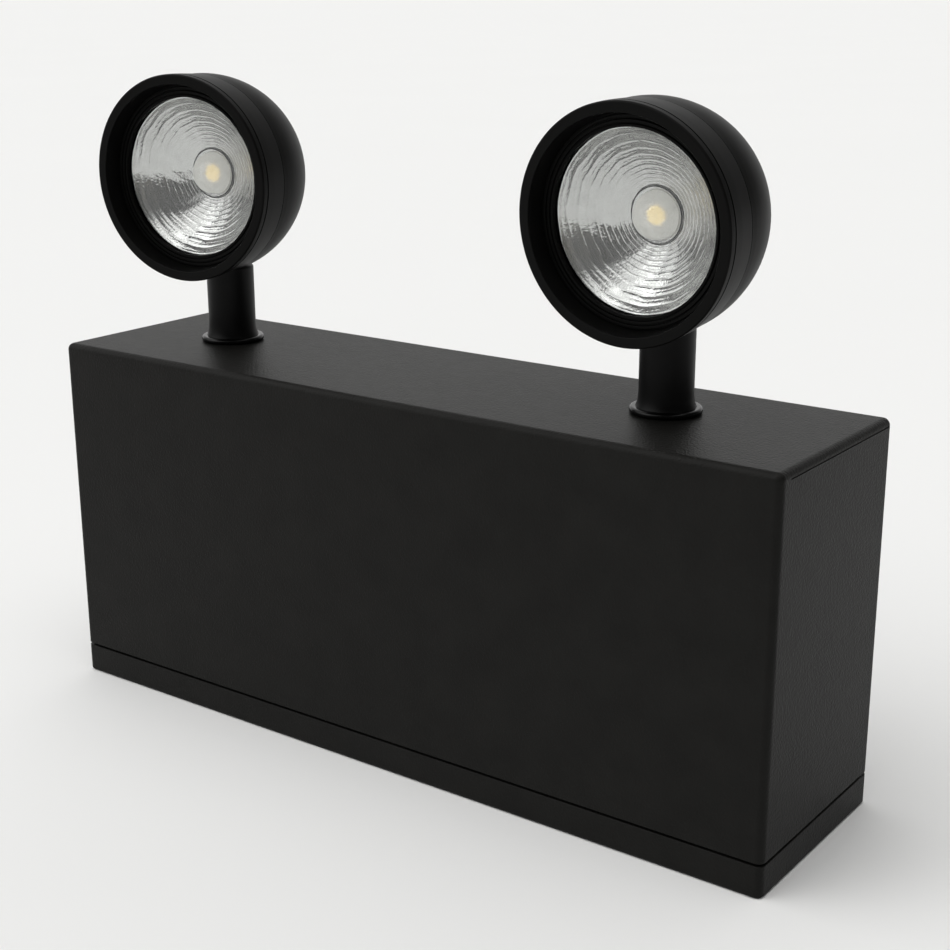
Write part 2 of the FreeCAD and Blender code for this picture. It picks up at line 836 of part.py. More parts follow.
def make_charger():
    """The charger board on its standoffs, with its larger components."""
    x = size["circuit_x"]
    z = size["circuit_z"]
    wide = size["circuit_width"]
    high = size["circuit_height"]
    board_back = PANEL_FRONT - size["standoff_height"]
    board_front = board_back - size["board_thickness"]
    thick = size["board_thickness"]
    board = centred_block((wide, thick, high), (x, board_back - thick / 2, z))
    holes = [
        cylinder(size["screw_radius"] + size["slack"], as_size(6.0), (hx, board_front - 2.0, hz), "+Y")
        for hx, hz in standoff_places()
    ]
    keep(cut(board, *holes), "charger_board")
    posts = [
        cut(
            cylinder(size["standoff_radius"], size["standoff_height"], (sx, board_back, sz), "+Y"),
            cylinder(
                size["screw_radius"] + size["running_fit"], size["standoff_height"] + 2.0,
                (sx, board_back - 1.0, sz), "+Y",
            ),
        )
        for sx, sz in standoff_places()
    ]
    keep(fuse(*posts), "board_standoffs")

    cans = [
        cylinder(size["can_radius"], size["can_height"], (x + step, board_front, z + size["can_rise"]), "-Y")
        for step in (10.0, 26.0)
    ]
    keep(fuse(*cans), "filter_capacitors")
    strip_x = x - size["strip_aside"]
    strip_z = z - size["strip_drop"]
    deep = size["strip_depth"]
    strip_size = (size["strip_length"], deep, size["strip_height"])
    strip = centred_block(strip_size, (strip_x, board_front - deep / 2, strip_z))
    ways = [
        cylinder(
            size["way_radius"], size["way_depth"],
            (strip_x + size["way_pitch"] * n, board_front - deep, strip_z + size["way_rise"]), "+Y",
        )
        for n in (-2, -1, 0, 1, 2)
    ]
    keep(cut(strip, *ways), "terminal_block")


def make_transformer():
    """The transformer on two bosses: a laminated core with feet, and the coil round its middle limb."""
    x = size["core_x"]
    foot = size["tray_floor"] + size["boss_height"]
    length = size["core_length"]
    depth = size["core_depth"]
    high = size["core_height"]
    limb = size["coil_margin"]
    flange = size["core_flange"]
    window = high - 2 * limb - flange
    middle = foot + flange + limb + window / 2
    core = centred_block((length, depth, high), (x, 0.0, foot + high / 2))
    open_width = length / 2 - 1.5 * limb
    windows = [
        centred_block((open_width, depth + 2.0, window), (x + (limb / 2 + open_width / 2) * s, 0.0, middle))
        for s in (-1, 1)
    ]
    bores = [
        cylinder(
            size["screw_radius"] + size["slack"], high + 4.0, (x + transformer_boss_x() * s, 0.0, foot - 1.0)
        )
        for s in (-1, 1)
    ]
    keep(cut(core, *windows, *bores), "transformer_core")
    coil_width = limb + 2 * open_width - 2 * size["slack"]
    coil_high = window - 2 * size["slack"]
    coil = centred_block((coil_width, depth + 2 * size["coil_overhang"], coil_high), (x, 0.0, middle))
    inner = size["slack"]
    hole = centred_block((limb + 2 * inner, depth + 2 * inner, coil_high + 2.0), (x, 0.0, middle))
    keep(cut(coil, hole), "transformer_coil")


def make_chassis_screws():
    """The screws of the battery strap, the transformer and the charger board."""
    floor = size["tray_floor"]
    boss = size["boss_height"]
    strap_seat = floor + boss + size["strap_sheet"]
    core_seat = floor + boss + size["core_height"]
    board_front = PANEL_FRONT - size["standoff_height"] - size["board_thickness"]
    grip = boss - 0.5
    made = [
        screw((size["battery_x"] + strap_boss_x() * s, 0.0, strap_seat), "-Z", size["strap_sheet"] + grip)
        for s in (-1, 1)
    ]
    made += [
        screw((size["core_x"] + transformer_boss_x() * s, 0.0, core_seat), "-Z", size["core_height"] + grip)
        for s in (-1, 1)
    ]
    reach = size["board_thickness"] + size["standoff_height"] + size["sheet"]
    made += [screw((x, board_front, z), "+Y", reach) for x, z in standoff_places()]
    keep(fuse(*made), "chassis_screws")


# ---------------------------------------------------------------- test switch and charge light


def make_switch():
    """The push-to-test switch in the left side: bezel, bush, button, body; the charge light above it."""
    y = size["switch_y"]
    z = size["switch_z"]
    bezel_height = size["bezel_height"]
    bush = size["switch_bush"]
    bush_length = size["sheet"] + size["bush_reach"]
    front = SIDE_FACE - bezel_height
    flange = cylinder(size["switch_bezel"], bezel_height, (SIDE_FACE, y, z), "-X")
    barrel = cylinder(bush, bush_length, (SIDE_FACE, y, z), "+X")
    way = cylinder(size["button_radius"] + size["slack"], bush_length + 4.0, (front - 1.0, y, z), "+X")
    ring = cut(fuse(flange, barrel), way)
    keep(ring, "test_bezel")

    cap_front = front - size["button_proud"] - size["button_travel"]
    cap_length = size["button_travel"] + size["button_skirt"]
    cap = cylinder(size["button_radius"], cap_length, (cap_front, y, z), "+X")
    stalk = cylinder(size["stalk_radius"], size["stalk_length"], (cap_front + cap_length, y, z), "+X")
    keep(fuse(cap, stalk), "test_button")

    body_start = SIDE_FACE + bush_length
    body_length = size["switch_body_length"]
    body_width = size["switch_body_width"]
    case = centred_block((body_length, body_width, body_width), (body_start + body_length / 2, y, z))
    deep = size["button_skirt"] + 0.5
    well = cylinder(size["button_radius"] + size["slack"], deep, (body_start - 0.5, y, z), "+X")
    lug = (size["lug_length"], size["lug_thickness"], size["lug_height"])
    lug_x = body_start + body_length + size["lug_length"] / 2
    lugs = [centred_block(lug, (lug_x, y + size["lug_offset"] * s, z)) for s in (-1, 1)]
    keep(fuse(cut(case, well), *lugs), "test_switch_body")

    tall = size["indicator_z"]
    radius = size["indicator_radius"]
    rim = size["indicator_flange_depth"]
    lens = fuse(
        cylinder(radius, size["indicator_length"], (SIDE_FACE, y, tall), "+X"),
        cylinder(radius + size["indicator_flange"], rim, (SIDE_FACE, y, tall), "-X"),
        common(
            ball(radius, (SIDE_FACE - rim, y, tall)),
            cylinder(radius, size["indicator_crown"], (SIDE_FACE - rim, y, tall), "-X"),
        ),
    )
    keep(lens, "indicator_lens")


def tube(points, radius, bends):
    """A round lead along straight runs joined by tangent arcs, one radius for each inner point."""
    spots = [FreeCAD.Vector(*(as_size(v).number for v in point)) for point in points]
    edges = []
    start = spots[0]
    for before, corner, after, bend in zip(spots, spots[1:], spots[2:], bends):
        came = (corner - before).normalize()
        goes = (after - corner).normalize()
        turn = came.getAngle(goes)
        back = bend * math.tan(turn / 2)
        first = corner - came * back
        last = corner + goes * back
        inward = (goes - came).normalize()
        centre = corner + inward * (bend / math.cos(turn / 2))
        middle = centre - inward * bend
        if (first - start).Length > 0.001:
            edges.append(Part.LineSegment(start, first).toShape())
        edges.append(Part.Arc(first, middle, last).toShape())
        start = last
    edges.append(Part.LineSegment(start, spots[-1]).toShape())
    path = Part.Wire(edges)
    heading = (spots[1] - spots[0]).normalize()
    ring = Part.Wire(Part.Circle(spots[0], heading, as_size(radius).number).toShape())
    return path.makePipeShell([ring], True, True)


def lead(label, runs, placement=None, radius=None):
    """A node of one or more leads, each a list of points and a list of bend radii."""
    made = doc.addObject("Part::Feature", f"lead_{label}")
    shapes = [tube(points, radius or size["lead_radius"], bends) for points, bends in runs]
    made.Shape = shapes[0] if len(shapes) == 1 else Part.makeCompound(shapes)
    return keep(made, label, placement)


def make_box_leads():
    """The leads inside the box: battery to board, switch to board, and board to each stem."""
    x = size["battery_x"]
    tab_y = size["terminal_y"]
    tab_top = size["tray_floor"] + size["battery_height"] + size["terminal_height"] / 2
    strip_y = PANEL_FRONT - size["standoff_height"] - size["board_thickness"] - size["strip_depth"]
    strip_x = size["circuit_x"] - size["strip_aside"]
    strip_z = size["circuit_z"] - size["strip_drop"] + size["way_rise"]
    for label, side, way, rise in (("battery_lead_red", 1, -2, 6.0), ("battery_lead_black", -1, -1, 10.0)):
        end_x = strip_x + size["way_pitch"] * way
        level = tab_top + rise
        lead(label, [(
            [
                (x + tab_x(side), tab_y, tab_top - 1.9), (x + tab_x(side), tab_y, level),
                (x + tab_x(side), 4.0 + 3.0 * side, level), (end_x, 4.0 + 3.0 * side, level),
                (end_x, 4.0 + 3.0 * side, strip_z), (end_x, strip_y + 2.0, strip_z),
            ],
            [3.0, 3.0, 5.0, 5.0, 5.0],
        )])

    stems = []
    foot = HOOD_CEILING - size["thread_length"] - 0.3
    for name, way, level, aside in (("left", 0, foot - 4.2, 9.0), ("right", 1, foot - 6.8, 0.0)):
        end_x = strip_x + size["way_pitch"] * way
        run_y = size["stem_y"] - aside
        points = [
            (end_x, strip_y + 2.0, strip_z), (end_x, run_y, strip_z),
            (end_x, run_y, level), (STEM_X[name], run_y, level),
        ]
        bends = [4.0, 3.6, 3.6]
        if aside:
            points.append((STEM_X[name], size["stem_y"], level))
            bends.append(3.6)
        points.append((STEM_X[name], size["stem_y"], foot))
        stems.append((points, bends))
    return stems


# ---------------------------------------------------------------- stems and heads


def head_placement(name):
    """From the lamp's own frame (origin in the middle of its front, axis along +Y) to the light's frame."""
    yaw = FreeCAD.Rotation(FreeCAD.Vector(0, 0, 1), size[f"yaw_{name}"].number)
    tilt = FreeCAD.Rotation(FreeCAD.Vector(1, 0, 0), -size[f"tilt_{name}"].number)
    pivot = FreeCAD.Vector(STEM_X[name].number, size["stem_y"].number, PIVOT_Z.number)
    lamp = FreeCAD.Vector(0, -size["head_reach"].number, size["head_rise"].number)
    return FreeCAD.Placement(pivot, yaw * tilt) * FreeCAD.Placement(lamp, FreeCAD.Rotation())


def stem_placement(name):
    """From the stem's own frame (on its axis, at the box's top) to the light's frame."""
    yaw = FreeCAD.Rotation(FreeCAD.Vector(0, 0, 1), size[f"yaw_{name}"].number)
    return FreeCAD.Placement(
        FreeCAD.Vector(STEM_X[name].number, size["stem_y"].number, size["box_height"].number), yaw
    )


def make_collars():
    """The round collars on the box's top, which the stems turn in."""
    rings = []
    for name, x in STEM_X.items():
        base = cylinder(size["collar_radius"], size["collar_height"], (x, size["stem_y"], size["box_height"]))
        rounded = fresh("Part::Fillet")
        rounded.Base = base
        doc.recompute()
        top = COLLAR_TOP.number
        chosen = [i for i, e in enumerate(base.Shape.Edges, start=1) if near(e.BoundBox.ZMin, top)]
        radius = size["collar_round"].number
        rounded.Edges = [(i, radius, radius) for i in chosen]
        bore = cylinder(
            size["spigot_radius"] + size["running_fit"],
            size["collar_height"] + 2.0,
            (x, size["stem_y"], size["box_height"] - 1.0),
        )
        rings.append(cut(rounded, bore))
    keep(fuse(*rings), "collars")
    washers = [
        cut(
            cylinder(size["washer_radius"], size["washer_height"], (x, size["stem_y"], HOOD_CEILING), "-Z"),
            cylinder(
                size["spigot_radius"] + size["running_fit"], size["washer_height"] + 2.0,
                (x, size["stem_y"], HOOD_CEILING + 1.0), "-Z",
            ),
        )
        for x in STEM_X.values()
    ]
    keep(fuse(*washers), "stem_washers")


def make_stem(name):
    """A stem: threaded spigot, flared foot, plain tube, and a tongue that the head's pin passes through."""
    place = stem_placement(name)
    foot = size["collar_height"]
    pivot = size["pivot_rise"]
    shoulder = pivot - size["shoulder_drop"]
    low = -(size["sheet"] + size["thread_length"])
    flare = size["stem_foot_height"]
    radius = size["stem_radius"]
    round_off = as_size(1.2)

    work = Bodywork(f"stem_{name}")
    side = work.sketch("XZ_Plane")
    bore = size["stem_bore"]
    outline(side, [
        (bore, low), (size["spigot_radius"], low), (size["spigot_radius"], foot),
        (size["stem_foot_radius"], foot), (size["stem_foot_radius"], foot + 1.2),
        (radius + 0.25, foot + flare * 0.55), (radius, foot + flare),
        (radius, shoulder - round_off), (radius - round_off, shoulder), (bore, shoulder),
    ])
    work.spin(side)

    tongue = work.sketch("YZ_Plane", -size["tongue_half"])
    half = size["tongue_radius"]
    outline(tongue, [(-half, shoulder - 6.0), (half, shoulder - 6.0), (half, pivot), (-half, pivot)])
    work.pad(tongue, 2 * size["tongue_half"])
    tip = work.sketch("YZ_Plane", -size["tongue_half"])
    circle(tip, half, (0.0, pivot))
    work.pad(tip, 2 * size["tongue_half"])
    eye = work.sketch("YZ_Plane", -(size["tongue_half"] + 1.0))
    circle(eye, size["pin_radius"] + size["running_fit"], (0.0, pivot))
    work.pocket(eye, 2 * size["tongue_half"] + 2.0, back=True)
    channel = work.sketch("XY_Plane", shoulder - 7.0)
    circle(channel, size["lead_radius"] + size["slack"])
    work.pocket(channel, size["shoulder_drop"] + 7.0, back=True)
    work.body.Placement = place

    nut_top = -(size["sheet"] + size["washer_height"])
    nut = cut(
        hexagon(size["nut_flats"], size["nut_height"], (0.0, 0.0, nut_top - size["nut_height"])),
        cylinder(size["spigot_radius"] + size["running_fit"], size["nut_height"] + 2.0,
                 (0.0, 0.0, nut_top - size["nut_height"] - 1.0)),
    )
    keep(nut, f"stem_nut_{name}", place)

    # The lead comes up the bore and ends inside the hollow pin, on the tilt axis.
    lead(f"lead_stem_{name}", [([(0, 0, low), (0, 0, pivot - size["pin_bore"])], [])], place)


def tilt_tool():
    """What the stem sweeps through in the lamp's frame while the head tilts, as a cutting tool."""
    down = size["tilt_down"]
    up = size["tilt_up"]
    half = size["stem_radius"] + 0.5
    reach = as_size(22.0)
    pivot = FreeCAD.Vector(0, size["head_reach"].number, -size["head_rise"].number)
    pieces = []
    for angle in (-down, up):
        shaft = fresh("Part::Cylinder")
        shaft.Radius = half.number
        shaft.Height = reach.number
        bind(shaft, "Radius", half)
        bind(shaft, "Height", reach)
        turn = FreeCAD.Rotation(FreeCAD.Vector(1, 0, 0), 180 + angle.number)
        shaft.Placement = FreeCAD.Placement(pivot, turn)
        pieces.append(shaft)
    fan = fresh("Part::Cylinder")
    fan.Radius = reach.number
    fan.Height = 2 * half.number
    fan.Angle = (up + down).number
    bind(fan, "Radius", reach)
    bind(fan, "Height", 2 * half)
    bind(fan, "Angle", up + down)
    # The cylinder's sector starts on its own X axis; it is laid along the light's X and turned to its start.
    lay = FreeCAD.Rotation(FreeCAD.Vector(0, 1, 0), 90)
    start = FreeCAD.Rotation(FreeCAD.Vector(1, 0, 0), -down.number)
    fan.Placement = FreeCAD.Placement(
        pivot - FreeCAD.Vector(half.number, 0, 0), start * lay
    )
    pieces.append(fan)
    return fuse(*pieces)


def boss_angles():
    """Where the carrier's three bosses are, as unit vectors across the lamp's axis."""
    return [(math.cos(math.radians(a)), math.sin(math.radians(a))) for a in BOSS_ANGLES]


def make_bezel(name, place):
    """The front ring: land, recess, groove, lens seat, a spigot into the rear shell, and three bosses."""
    front = size["ring_radius"]
    rear = size["shell_radius"] + 0.05
    land = front - size["ring_land"]
    seat_wall = land - size["recess_draft"]
    soft = size["ring_round"]
    groove = size["groove_at"]
    seam = size["seam_at"]
    spigot = SHELL_INNER - 0.2
    flange_bore = BOWL_LIP + 0.2
    work = Bodywork(f"bezel_ring_{name}")
    profile = work.sketch("XY_Plane")
    outline(profile, [
        (land + soft / 2, 0.0), (front - soft, 0.0), (front, soft), (front, groove),
        (front - size["groove_depth"], groove), (front - size["groove_depth"], groove + size["groove_width"]),
        (front, groove + size["groove_width"]), (front - 0.2, seam / 2),
        (rear, seam - 0.3), (rear - 0.3, seam),
        (spigot, seam), (spigot, seam + size["ring_spigot"]), (spigot - 2.0, seam + size["ring_spigot"]),
        (spigot - 2.0, LENS_BACK + 1.5),
        (flange_bore, LENS_BACK + 1.5), (flange_bore, LENS_BACK), (seat_wall, LENS_BACK),
        (seat_wall, size["recess_depth"] - size["retainer_height"]), (land, soft / 2),
    ])
    work.spin(profile)
    bosses = work.sketch("XZ_Plane", -(LENS_BACK + 1.0))
    for cx, cz in boss_angles():
        circle(bosses, size["boss_radius"], (size["boss_circle"] * cx, size["boss_circle"] * cz))
    work.pad(bosses, CARRIER_FRONT - LENS_BACK - 1.0, back=True)
    taps = work.sketch("XZ_Plane", -CARRIER_FRONT)
    tap = size["small_screw_radius"] + size["running_fit"]
    for cx, cz in boss_angles():
        circle(taps, tap, (size["boss_circle"] * cx, size["boss_circle"] * cz))
    work.pocket(taps, as_size(5.0), back=True)
    work.body.Placement = place


def make_retainer(name, place):
    """The ridged ring in front of the lens."""
    bore = RETAINER_BORE
    outer = size["ring_radius"] - size["ring_land"] - size["recess_draft"] - 0.05
    back = size["recess_depth"]
    top = back - size["retainer_height"]
    width = size["ridge_width"]
    pitch = (outer - bore) / 3
    corners = [(bore, back)]
    valley = top + size["ridge_height"]
    for n in range(3):
        start = bore + pitch * n
        corners += [(start, top), (start + width, top)]
        corners += [(start + width + 0.2, valley), (start + pitch - 0.2, valley)]
    corners += [(outer, valley), (outer, back)]
    work = Bodywork(f"retaining_ring_{name}")
    profile = work.sketch("XY_Plane")
    outline(profile, corners)
    work.spin(profile)
    work.body.Placement = place


def make_optics(name, place):
    """Lens, reflector, LED board, emitter and clear dome, from front to back."""
    lens = cylinder(size["lens_radius"], size["lens_thickness"], (0.0, size["recess_depth"], 0.0), "+Y")
    keep(wrapped(lens), f"lens_{name}", place)

    # The reflector is a dish between two spheres about one centre on the lamp's axis.
    rim = BOWL_RIM
    neck = size["bowl_neck"]
    front = LENS_BACK
    back = BOWL_BOTTOM
    centre = (rim * rim - neck * neck + front * front - back * back) / (2 * (front - back))
    radius = root(rim * rim + (front - centre) * (front - centre))
    dish = common(
        ball(radius + size["bowl_wall"], (0.0, centre, 0.0)),
        cylinder(BOWL_LIP, size["bowl_depth"], (0.0, front, 0.0), "+Y"),
    )
    throat = cylinder(neck, size["bowl_depth"] + 4.0, (0.0, front - 1.0, 0.0), "+Y")
    keep(cut(dish, ball(radius, (0.0, centre, 0.0)), throat), f"reflector_{name}", place)

    lead_spot = (size["lead_x"], back + 0.8, -size["lead_drop"])
    board = cut(
        cylinder(size["board_radius"], size["board_thickness"], (0.0, back, 0.0), "+Y"),
        cylinder(size["lead_radius"] + size["slack"], as_size(4.0), lead_spot, "+Y"),
    )
    keep(board, f"led_board_{name}", place)
    emitter = cylinder(size["emitter_radius"], size["emitter_height"], (0.0, back, 0.0), "-Y")
    keep(wrapped(emitter), f"led_phosphor_{name}", place)
    bulb = common(
        ball(size["dome_radius"], (0.0, back, 0.0)),
        cylinder(size["dome_radius"] + 1.0, size["dome_radius"] + 1.0, (0.0, back, 0.0), "-Y"),
    )
    pocket = cylinder(size["emitter_radius"] + 0.05, size["emitter_height"] + 0.05, (0.0, back, 0.0), "-Y")
    keep(cut(bulb, pocket), f"led_dome_{name}", place)


def make_heat_sink(name, place):
    """The finned plate that carries the LED board on the bezel's three bosses."""
    plate = cylinder(size["carrier_radius"], size["carrier_plate"], (0.0, CARRIER_FRONT, 0.0), "+Y")
    arms = []
    for angle in BOSS_ANGLES:
        arm = block(
            (size["boss_circle"] + size["boss_radius"], size["carrier_plate"], 2 * size["boss_radius"] + 1.0),
            (0.0, CARRIER_FRONT, -(size["boss_radius"] + 0.5)),
        )
        turned = wrapped(arm)
        turned.Placement.Rotation = FreeCAD.Rotation(FreeCAD.Vector(0, 1, 0), -angle)
        arms.append(turned)
    fins = []
    for n in (-5, -3, -1, 1, 3, 5):
        x = size["fin_pitch"] / 2 * n
        fins.append(block(
            (size["fin_thickness"], size["fin_height"], 2 * size["fin_reach"]),
            (x - size["fin_thickness"] / 2, CARRIER_BACK - 0.5, -size["fin_reach"]),
        ))
    trim = cylinder(size["fin_reach"], size["fin_height"] + 2.0, (0.0, CARRIER_BACK - 0.5, 0.0), "+Y")
    bank = common(fuse(*fins), trim)
    holes = [
        cylinder(size["small_screw_radius"] + 0.1, as_size(6.0),
                 (size["boss_circle"] * cx, CARRIER_FRONT - 1.0, size["boss_circle"] * cz), "+Y")
        for cx, cz in boss_angles()
    ]
    holes.append(cylinder(size["lead_radius"] + size["slack"], as_size(6.0),
                          (size["lead_x"], CARRIER_FRONT - 1.0, -size["lead_drop"]), "+Y"))
    keep(cut(fuse(plate, *arms, bank), *holes), f"heat_sink_{name}", place)


def make_rear_shell(name, place):
    """The bowl-shaped back: a straight band and a hemisphere, two bosses for the yoke, the tilt slot."""
    radius = size["shell_radius"]
    outer = fuse(
        cylinder(radius, size["shell_straight"], (0.0, size["seam_at"], 0.0), "+Y"),
        common(
            ball(radius, (0.0, DOME_CENTRE, 0.0)),
            cylinder(radius + 1.0, radius + 1.0, (0.0, DOME_CENTRE, 0.0), "+Y"),
        ),
    )
    inner = fuse(
        cylinder(SHELL_INNER, size["shell_straight"] + 1.0, (0.0, size["seam_at"] - 1.0, 0.0), "+Y"),
        common(
            ball(SHELL_INNER, (0.0, DOME_CENTRE, 0.0)),
            cylinder(SHELL_INNER + 1.0, SHELL_INNER + 1.0, (0.0, DOME_CENTRE - 0.2, 0.0), "+Y"),
        ),
    )
    seat = size["yoke_above_pivot"] - size["head_rise"]
    bosses = [
        common(
            cylinder(size["yoke_boss_radius"], as_size(12.0),
                     (size["yoke_boss_x"] * s, size["head_reach"], seat), "-Z"),
            ball(radius - 0.5, (0.0, DOME_CENTRE, 0.0)),
        )
        for s in (-1, 1)
    ]
    taps = [
        cylinder(size["small_screw_radius"] + 0.05, as_size(4.0),
                 (size["yoke_boss_x"] * s, size["head_reach"], seat + 0.5), "-Z")
        for s in (-1, 1)
    ]
    shell = cut(outer, inner)
    keep(cut(fuse(shell, *bosses), tilt_tool(), *taps), f"rear_shell_{name}", place)


def make_yoke(name, place):
    """The bracket inside the shell: a plate on the shell's bosses and two ears down to the pivot."""
    pivot_y = size["head_reach"]
    pivot_z = -size["head_rise"]
    seat = pivot_z + size["yoke_above_pivot"]
    plate_size = (size["yoke_width"], size["yoke_depth"], size["yoke_plate"])
    plate = centred_block(plate_size, (0.0, pivot_y, seat + size["yoke_plate"] / 2))
    gap = size["tongue_half"] + 0.2
    thick = size["ear_thickness"]
    ears = []
    for s in (-1, 1):
        middle = (gap + thick / 2) * s
        ears.append(centred_block(
            (thick, 2 * size["ear_radius"], size["yoke_above_pivot"] + 0.5),
            (middle, pivot_y, pivot_z + (size["yoke_above_pivot"] + 0.5) / 2),
        ))
        ears.append(cylinder(size["ear_radius"], thick, (middle - thick / 2, pivot_y, pivot_z), "+X"))
    eye = cylinder(size["pin_radius"] + size["running_fit"], as_size(30.0), (-15.0, pivot_y, pivot_z), "+X")
    deep = size["yoke_plate"] + 4.0
    low = seat - 1.0
    hole = size["small_screw_radius"] + 0.2
    holes = [cylinder(hole, deep, (size["yoke_boss_x"] * s, pivot_y, low)) for s in (-1, 1)]
    holes.append(cylinder(size["lead_radius"] + size["slack"], deep, (size["lead_x"], pivot_y, low)))
    keep(cut(fuse(plate, *ears), eye, *holes), f"yoke_{name}", place)

    # The hollow pin, with a head at each end of the ears; it stays with the head.
    reach = gap + thick
    shank = cylinder(size["pin_radius"], 2 * reach, (-reach, pivot_y, pivot_z), "+X")
    heads = [
        cylinder(size["pin_head_radius"], size["pin_head_height"], (reach * s, pivot_y, pivot_z), way)
        for s, way in ((-1, "-X"), (1, "+X"))
    ]
    bore = cylinder(size["pin_bore"], as_size(30.0), (-15.0, pivot_y, pivot_z), "+X")
    window = centred_block(
        (2 * size["pin_bore"], 2 * size["pin_radius"] + 1.0, size["pin_radius"] + 1.5),
        (0.0, pivot_y, pivot_z - size["pin_radius"] / 2),
    )
    keep(cut(fuse(shank, *heads), bore, window), f"pivot_pin_{name}", place)


def make_head_screws(name, place):
    """The screws of one head: three through the carrier's arms, two down through the yoke."""
    made = [
        screw(
            (size["boss_circle"] * cx, CARRIER_BACK, size["boss_circle"] * cz), "-Y",
            size["carrier_screw_length"], "small",
        )
        for cx, cz in boss_angles()
    ]
    seat = size["yoke_above_pivot"] - size["head_rise"] + size["yoke_plate"]
    made += [
        screw((size["yoke_boss_x"] * s, size["head_reach"], seat), "-Z", size["yoke_screw_length"], "small")
        for s in (-1, 1)
    ]
    keep(fuse(*made), f"head_screws_{name}", place)


def make_head_lead(name, place):
    """The lamp's lead: out of the pin, up beside the yoke, and through the carrier to the LED board."""
    pivot_y = size["head_reach"]
    pivot_z = -size["head_rise"]
    x = size["lead_x"]
    points = [
        (size["pin_bore"], pivot_y, pivot_z), (x, pivot_y, pivot_z),
        (x, pivot_y, -size["lead_drop"]), (x, CARRIER_FRONT - 0.6, -size["lead_drop"]),
    ]
    lead(f"lead_head_{name}", [(points, [2.6, 3.6])], place)


make_hood()
make_tray()
make_back_panel()
make_box_screws()
make_grommet()
make_battery()
make_charger()
make_transformer()
make_chassis_screws()
make_switch()
lead("lamp_leads", make_box_leads())
make_collars()
for head in STEM_X:
    make_stem(head)
    at_head = head_placement(head)
    make_bezel(head, at_head)
    make_retainer(head, at_head)
    make_optics(head, at_head)
    make_heat_sink(head, at_head)
    make_rear_shell(head, at_head)
    make_yoke(head, at_head)
    make_head_screws(head, at_head)
    make_head_lead(head, at_head)

doc.recompute()
faults = [o.Label for o in doc.Objects if "Invalid" in o.State or "Error" in o.State]
faults += [o.Label for o in nodes if o.Shape.isNull() or not o.Shape.isValid()]
if faults:
    raise RuntimeError(f"failed objects: {faults}")
os.makedirs("parts", exist_ok=True)
for node in nodes:
    node.Shape.exportStep(f"parts/{node.Label}.step")
print(len(nodes), "nodes")
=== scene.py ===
import json
import logging
from dataclasses import dataclass, field, replace
from enum import Enum

import bpy
import numpy as np
from mathutils import Matrix, Vector


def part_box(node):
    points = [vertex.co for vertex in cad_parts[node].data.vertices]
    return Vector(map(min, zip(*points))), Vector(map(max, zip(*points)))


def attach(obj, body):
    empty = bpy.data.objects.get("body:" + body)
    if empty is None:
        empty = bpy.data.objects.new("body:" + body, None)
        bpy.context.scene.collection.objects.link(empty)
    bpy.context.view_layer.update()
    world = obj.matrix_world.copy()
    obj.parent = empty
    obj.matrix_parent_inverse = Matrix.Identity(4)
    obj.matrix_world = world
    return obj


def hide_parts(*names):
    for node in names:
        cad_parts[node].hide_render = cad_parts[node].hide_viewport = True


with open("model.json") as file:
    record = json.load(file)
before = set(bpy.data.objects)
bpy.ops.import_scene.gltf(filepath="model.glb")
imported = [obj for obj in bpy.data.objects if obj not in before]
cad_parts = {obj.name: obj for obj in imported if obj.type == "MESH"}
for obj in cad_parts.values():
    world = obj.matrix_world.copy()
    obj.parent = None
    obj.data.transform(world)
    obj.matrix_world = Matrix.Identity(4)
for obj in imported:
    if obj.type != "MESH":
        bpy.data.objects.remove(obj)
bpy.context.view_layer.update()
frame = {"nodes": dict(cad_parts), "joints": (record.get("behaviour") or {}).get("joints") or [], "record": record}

LOG = logging.getLogger("emergency_light")
MM = 0.001
TURN = 2.0 * np.pi
# The collars' height in millimetres. The feet of the stems stand on the collars.
COLLAR_HEIGHT = 2.1
# The most that a rounded corner may take of the shorter side next to it.
CORNER_SHARE = 0.49

# A colour, a place or a direction.
Triple = tuple[float, float, float]
# A surface's vertices, vertex normals, and faces as rows of four vertex numbers.
Surface = tuple[np.ndarray, np.ndarray, np.ndarray]
Socket = bpy.types.NodeSocket


class Side(Enum):
    """Which of the two lamps a piece belongs to."""

    LEFT = "left"
    RIGHT = "right"


# ---------------------------------------------------------------- the frame and the scene


def find_joint(name: str) -> dict:
    """The frame's joint of that name."""
    return next(joint for joint in frame["joints"] if joint["name"] == name)


def tilt_direction(side: Side) -> np.ndarray:
    """The direction of a lamp's tilt pin, toward the light's right."""
    axis = -np.array(find_joint(f"{side.value}_tilt")["axis"], float)
    return axis / np.linalg.norm(axis)


def pan_foot(side: Side) -> np.ndarray:
    """The point where a lamp's pan axis leaves the box's top."""
    place = find_joint(f"{side.value}_pan")["pos_m"]
    return np.array([place[0], place[1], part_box("hood_shell")[1].z])


def add_object(name: str, data: bpy.types.ID) -> bpy.types.Object:
    """Make an object at the origin and link it to the scene.

    Args:
        name: The object's name.
        data: Its mesh, light or camera.

    Returns:
        The new object.
    """
    made = bpy.data.objects.new(name, data)
    bpy.context.scene.collection.objects.link(made)
    return made


# ---------------------------------------------------------------- surfaces


@dataclass(frozen=True)
class Axle:
    """A turning axis in the light's frame: where it starts, and three directions at right angles."""

    origin: np.ndarray
    right: np.ndarray
    along: np.ndarray
    up: np.ndarray

    def to_light(self, points: np.ndarray) -> np.ndarray:
        """Carry points given as (right, along, up) into the light's frame.

        Args:
            points: One point, or an array of shape (count, 3), in metres.

        Returns:
            The same in the light's frame.
        """
        return self.origin + self.turned(points)

    def turned(self, directions: np.ndarray) -> np.ndarray:
        """Directions given as (right, along, up), in the light's frame."""
        return directions @ np.stack([self.right, self.along, self.up])


@dataclass(frozen=True)
class Outline:
    """A cut through a turned piece: points (radius, distance along the axis) and the normal at each one."""

    points: np.ndarray
    normals: np.ndarray
    closed: bool = True


